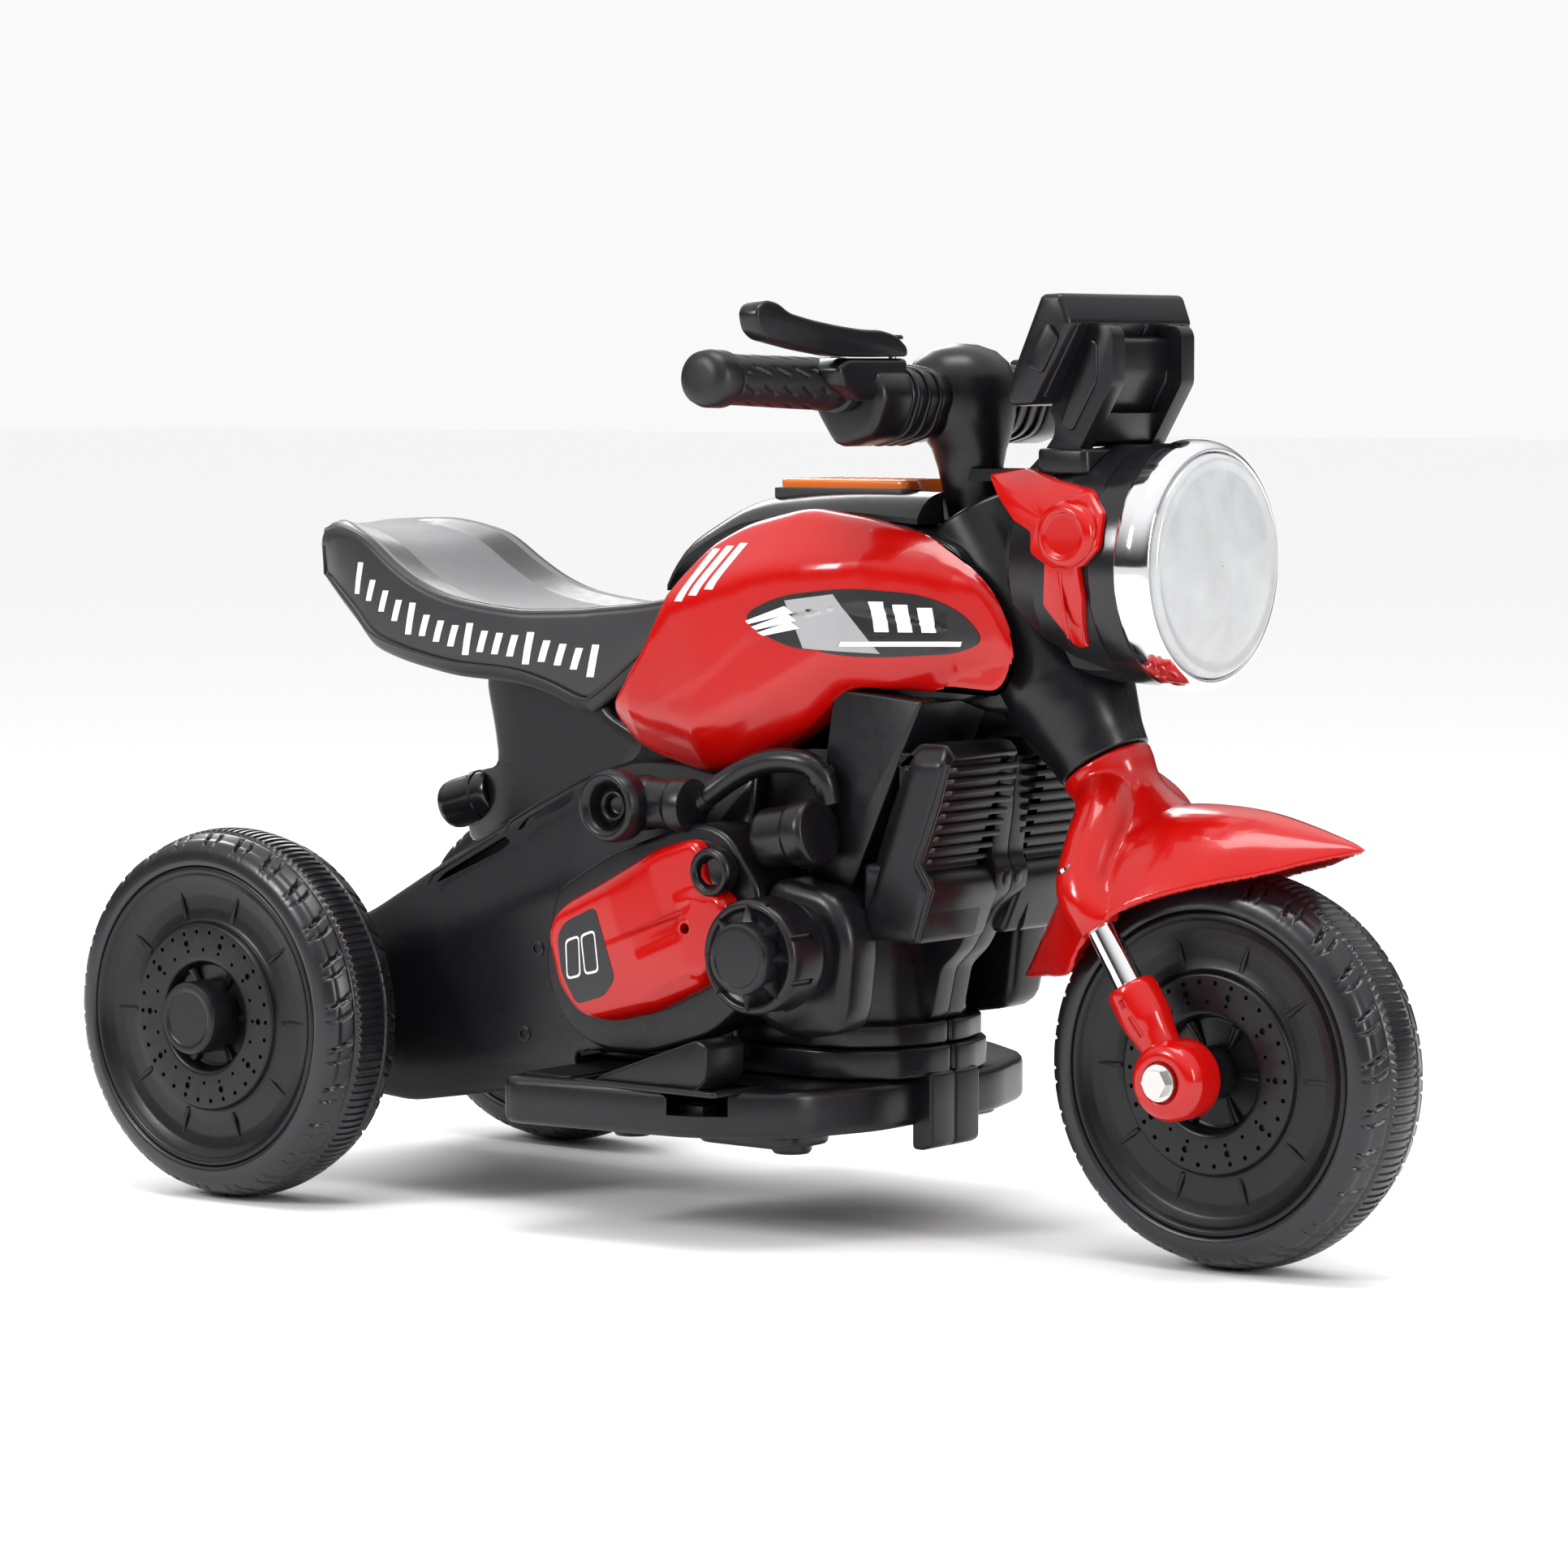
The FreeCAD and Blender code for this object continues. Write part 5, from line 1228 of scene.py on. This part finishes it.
def build_grip(name, side):
    """A smooth barrel with a rounded end, an inner flange and rows of small slanted notches."""
    start, end = bar_point(78, side), bar_point(188, side)
    length = (end - start).length
    axis = (end - start).normalized()
    profile = [(10.2, 0), (12.6, 0), (12.6, 15), (14.6, 16), (14.6, 19.4), (12.8, 20.4), (12.8, 23),
               (14.0, 25), (14.0, 30), (13.5, 33.5)]
    first, last, count = 36.0, length - 19, 40
    profile += [(13.4 + 0.25 * math.cos(math.pi * i / count), first + (last - first) * i / count)
                for i in range(count + 1)]
    knob = [(13.0, 18), (14.4, 16.4), (15, 14), (15, 6), (13.6, 2.4), (10.6, 0.6), (7, 0), (0, 0), (0, 6),
            (10.2, 6)]
    profile += [(radius, length - s) for radius, s in knob]
    rows = []
    for radius, s in profile:
        def notched(angle, radius=radius, s=s):
            if not first < s < last:
                return max(radius, 0.005)
            turn = (angle * 8 / (2 * math.pi)) % 1
            along = ((s - first) / 13 + (0.5 if int(angle * 8 / (2 * math.pi)) % 2 else 0)) % 1
            gap = abs((turn - 0.5) * 10.5 - (along - 0.5) * 7)
            return radius - 0.8 * ease(1.4 - gap / 0.9) * ease(3.2 - 8 * abs(along - 0.5))

        rows.append(circle(start + axis * s, axis, notched, 160))
    piece("grip_sleeve_" + name, [skin(rows, loop=True)], RUBBER, "steering",
          ["grip_" + name], 40)


def build_lever(name, side):
    """A brake lever that curls up at its tip."""
    points = rounded([(61.5, 471), (62, 476), (71, 482), (84, 484.6), (100, 484.8), (120, 486.6),
                      (142, 489.4), (162, 493), (171, 498), (182, 499.4), (189.4, 494), (187, 484),
                      (180, 479.2), (150, 474.4), (120, 470.9), (90, 470.6)], 5)
    rows = [[Vector((x, side * y, z)) for y, z in points] for x in (110.2, 122.8)]
    blade = softened(skin(rows), 2.4, 3)
    pivot = Vector((117, side * 68, 474))
    pin_room = lathe([(PIN_BORE, -15), (PIN_BORE, 15)], pivot, Z_AXIS, 24)
    cap = lathe([(5.6, 6), (5.6, 7.4), (4.8, 8.2), (2.4, 8.2), (2.4, 6)], pivot, Z_AXIS, 32, loop=True)
    piece("lever_blade_" + name, [cut(blade, [pin_room]), cap], BLACK, "brake_lever_" + name,
          ["brake_lever_" + name])


# ---------------------------------------------------------------- headlight and phone holder

def build_headlight():
    """The chrome ring, the dark band behind it, and the reflector with its bulb."""
    axis, outer, back = Vector((0, 0, LAMP_Z)), RING_RADIUS, LAMP_FRONT - 20
    ring = rounded([(outer - 5, back), (outer - 0.9, back), (outer, back + 2), (outer, 264),
                    (outer - 0.9, 268.6), (outer - 2.6, 271.8), (outer - 5, LAMP_FRONT - 0.3),
                    (outer - 6.4, 272.6), (outer - 6.6, 270), (outer - 6, 262)], 1.4, steps=3)
    piece("headlight_bezel", [lathe(ring, axis, X_AXIS, 160, loop=True)], CHROME, "steering",
          ["headlight_ring"])
    band = rounded([(outer - 5, LAMP_BACK - 2), (outer - 2.6, LAMP_BACK - 2), (outer - 2.2, LAMP_BACK),
                    (outer - 2.2, back + 0.4), (outer - 5, back + 0.4)], 0.8, steps=3)
    piece("headlight_bucket_band", [lathe(band, axis, X_AXIS, 128, loop=True)], BLACK_GLOSS, "steering")
    dish = [(0, 241), (12, 241), (40, 250), (57.6, 264), (57.6, 266), (38, 253.2), (24, 246.6), (12, 243.6),
            (9, 243.2), (9, 251), (7.6, 255), (4.6, 257.6), (0, 258)]
    piece("headlight_dish", [lathe(dish, axis, X_AXIS, 96)], WHITE, "steering",
          ["headlight_reflector"])


def build_headlight_glass():
    """The lens: a rolled rim, a shallow dome with faint flutes, and a plain back."""
    rim = [(58.1, 268), (58.1, 272.6), (57.4, 274.6), (55.6, 276), (53.6, 276.2), (52.8, 275.6)]
    back = [(0.5, 278.6), (0.5, 274.8), (30, 273.8), (50, 270.6), (57, 268)]
    widest = 52.4
    dome = []
    for k in range(1, 15):
        radius = widest * (1 - k / 14.4)

        def flute(angle, radius=radius):
            return radius * (1 + 0.008 * math.cos(24 * angle) * ease(radius / 40))

        dome.append((flute, 278.6 - 3.0 * (radius / widest) ** 2))
    rows = [circle(Vector((x, 0, LAMP_Z)), X_AXIS, radius, 144) for radius, x in rim + dome + back]
    piece("headlight_glass", [skin(rows, loop=True)], LENS, "steering", ["headlight_lens"], 50)


def wrapped(outline, outer):
    """An (x, z) outline wrapped on the right side of the headlight bucket, out to a radius."""
    points = [Vector(p) for p in outline]
    centre = sum(points, Vector((0, 0))) / len(points)
    rows = []
    crown = outer + 0.4
    for scale, radius in ((1, LAMP_ROOM), (1, outer - 1), (0.96, outer), (0.5, crown), (0.03, crown)):
        row = []
        for p in points:
            q = centre + (p - centre) * scale
            row.append(Vector((q.x, -math.sqrt(max(radius ** 2 - (q.y - LAMP_Z) ** 2, 1)), q.y)))
        rows.append(row)
    return skin(rows)


def build_ears():
    """The winged red trim on each side of the headlight."""
    wing = rounded([(164, 410), (184, 413.5), (208, 407.5), (232, 403), (245, 391), (246, 374), (236, 364),
                    (218, 362), (204, 370), (203, 381), (190, 387), (176, 399)], 2.5, steps=4)
    blade = rounded([(213, 367), (233, 367), (235.5, 348), (228, 322), (223, 322), (210, 343.5)], 2, steps=4)
    boss = lathe(rounded([(0, 50), (18, 50), (18, 64.5), (16.4, 68), (13.4, 69.6), (11.8, 69.2), (10.8, 68),
                          (0, 68.2)], 1.2, False, 3), Vector((226, 0, 380)), -Y_AXIS, 64)
    keep_off = lathe([(LAMP_ROOM, 150), (LAMP_ROOM, 262)], Vector((0, 0, LAMP_Z)), X_AXIS, 96)
    boss = cut(boss, [keep_off])
    fins = [swept([Vector((167, -47.6, 408.6)), Vector((188, -52, 402.5)), Vector((209, -58.4, 393.5))],
                  [0.6, 1.6, 1.0], 12),
            swept([Vector((222, -66.2, 361)), Vector((223.5, -65.8, 346)), Vector((225.5, -62, 327))],
                  [1.4, 1.6, 0.5], 12)]
    parts = [wrapped(wing, 66.6), wrapped(blade, 66.2), boss] + fins
    piece("headlight_trim", both(*parts), RED, "steering", ["headlight_ears"])


def build_dash():
    """The phone tray with its back ribs and side jaws, on two stays and a foot."""
    outline = rounded([(180.3, 452), (184, 445.3), (198, 446.3), (221.6, 488), (215.8, 503.2),
                       (203.3, 503.2)], 2.5, steps=3)
    body = slab(outline, -56.8, 56.8, 3.4)
    recess = slab([(150, 454.6), (190.2, 454.6), (207.2, 498.2), (150, 498.2)], -50, 50, 0.6)
    body = cut(body, [recess])
    ribs = []
    for y in (-48, -14, 14, 48):
        ribs.append(slab(rounded([(198, 450), (201.4, 450), (222, 486), (219, 492), (214, 490)], 1.5),
                         y - 2, y + 2, 0.8))
    panel = slab(rounded([(196, 452), (203.6, 455), (218.6, 482), (214, 486)], 2), -22, 22, 1.2)
    jaw = rounded([(196, 466), (206, 462), (216, 480), (210, 488), (206, 486)], 2.5)
    jaws = [slab(jaw, *sorted((y, y * 1.06)), 1) for y in (-56.6, 56.6)]
    piece("phone_tray", [body, panel] + ribs + jaws, BLACK, "steering", ["dash_holder"])
    stay = rounded([(181, 411), (191, 420), (199, 430), (199.6, 437), (196, 443), (198, 447), (219.5, 486.6),
                    (232, 487), (235, 482.6), (235, 457), (214, 421.5), (212, 411)], 2.5, steps=3)
    forms = []
    for side in (-1, 1):
        forms.append(slab(stay, *sorted((side * 26.2, side * 38.0)), 1.6))
        forms.append(slab(rounded([(203, 436), (211, 432), (226, 458), (226, 478), (221, 480)], 3),
                          *sorted((side * 24.8, side * 39.4)), 1.2))
    tie = slab([(208, 424), (216, 427), (221, 442), (212, 441)], -30, 30, 1)
    web = rounded([(193, 421), (206, 421), (213, 440), (226, 462), (226, 480), (216, 482), (198, 446)], 3)
    web = slab(web, -27, 27, 1.2)
    foot = plate(rounded([(190, -42), (222, -42), (222, 42), (190, 42)], 5), 410, 423.6, 2)
    keep_off = lathe([(62.5, 150), (62.5, 250)], Vector((0, 0, LAMP_Z)), X_AXIS, 96)
    forms = [cut(f, [keep_off]) for f in forms + [web, foot]]
    piece("phone_tray_stays", forms + [tie], BLACK, "steering", ["dash_bracket"])


# ---------------------------------------------------------------- scene

def build_camera():
    """The camera at the fitted angle, aimed a little off the middle of the CAD box."""
    centre = (cad_low + cad_high) / 2
    target = centre + Vector((-0.0081, 0, -0.0144))
    azimuth, elevation, distance = math.radians(38.10), math.radians(4.4355), 2.9149
    back = Vector((math.sin(azimuth) * math.cos(elevation), -math.cos(azimuth) * math.cos(elevation),
                   math.sin(elevation)))
    camera = bpy.data.objects.new("camera", bpy.data.cameras.new("camera"))
    camera.data.sensor_width, camera.data.lens = 36.0, 121.88
    camera.location = target + back * distance
    camera.rotation_euler = (-back).to_track_quat("-Z", "Y").to_euler()
    bpy.context.scene.collection.objects.link(camera)
    bpy.context.scene.camera = camera


def area_light(name, place, aim, size, power):
    """A soft rectangular lamp."""
    light = bpy.data.lights.new(name, "AREA")
    light.shape, light.size, light.size_y = "RECTANGLE", size[0], size[1]
    light.energy = power
    thing = bpy.data.objects.new(name, light)
    thing.location = place
    thing.rotation_euler = (Vector(aim) - Vector(place)).to_track_quat("-Z", "Y").to_euler()
    bpy.context.scene.collection.objects.link(thing)


def build_sky():
    """White to the camera, and to everything else a sky with a dark horizon."""
    world = bpy.data.worlds.new("studio")
    world.use_nodes = True
    nodes, links = world.node_tree.nodes, world.node_tree.links
    sky = nodes["Background"]
    split = nodes.new("ShaderNodeSeparateXYZ")
    links.new(nodes.new("ShaderNodeTexCoord").outputs["Generated"], split.inputs["Vector"])
    strength = mapped(nodes, links, split.outputs["Z"], 0.04, 1.2, 0.05, 0.75)
    strength.node.interpolation_type = "SMOOTHSTEP"
    links.new(strength, sky.inputs["Strength"])
    seen = nodes.new("ShaderNodeBackground")
    seen.inputs["Strength"].default_value = 0.95
    blend = nodes.new("ShaderNodeMixShader")
    links.new(nodes.new("ShaderNodeLightPath").outputs["Is Camera Ray"], blend.inputs["Fac"])
    for background, socket in ((sky, 1), (seen, 2)):
        background.inputs["Color"].default_value = (1.0, 1.0, 1.0, 1)
        links.new(background.outputs["Background"], blend.inputs[socket])
    links.new(blend.outputs["Shader"], nodes["World Output"].inputs["Surface"])
    bpy.context.scene.world = world


def build_studio():
    """A pale floor, a white sky and four soft boxes."""
    build_sky()
    bpy.context.scene.view_settings.view_transform = "Standard"
    floor_mesh = bpy.data.meshes.new("floor")
    form = bmesh.new()
    bmesh.ops.create_grid(form, x_segments=1, y_segments=1, size=30)
    form.to_mesh(floor_mesh)
    floor = bpy.data.objects.new("floor", floor_mesh)
    floor.location.z = cad_low.z - 0.0002
    bpy.context.scene.collection.objects.link(floor)
    floor_mesh.materials.append(moulded("floor_paper", (0.96, 0.96, 0.96), 0.8, 0.01, 300, mottle=0.005))
    area_light("key", (-0.9, -2.4, 1.5), (0, 0, 0.25), (0.55, 0.75), 38)
    area_light("side", (2.6, -0.3, 0.9), (0.15, 0, 0.25), (0.3, 1.1), 24)
    area_light("back", (-1.8, 1.6, 1.6), (0, 0, 0.25), (1.2, 1.0), 24)
    area_light("top", (0.3, -0.3, 2.4), (0, 0, 0.2), (1.4, 0.9), 32)


dress_cad_nodes()
build_camera()
build_studio()
build_wheels()
build_tank()
build_tank_top()
build_seat()
build_body()
build_platform()
build_pedal()
build_engine_cases()
build_engine_shields()
build_star_knobs()
build_side_parts()
build_shrouds()
build_fork()
build_fork_feet()
build_handlebar()
build_headlight()
build_headlight_glass()
build_ears()
build_dash()
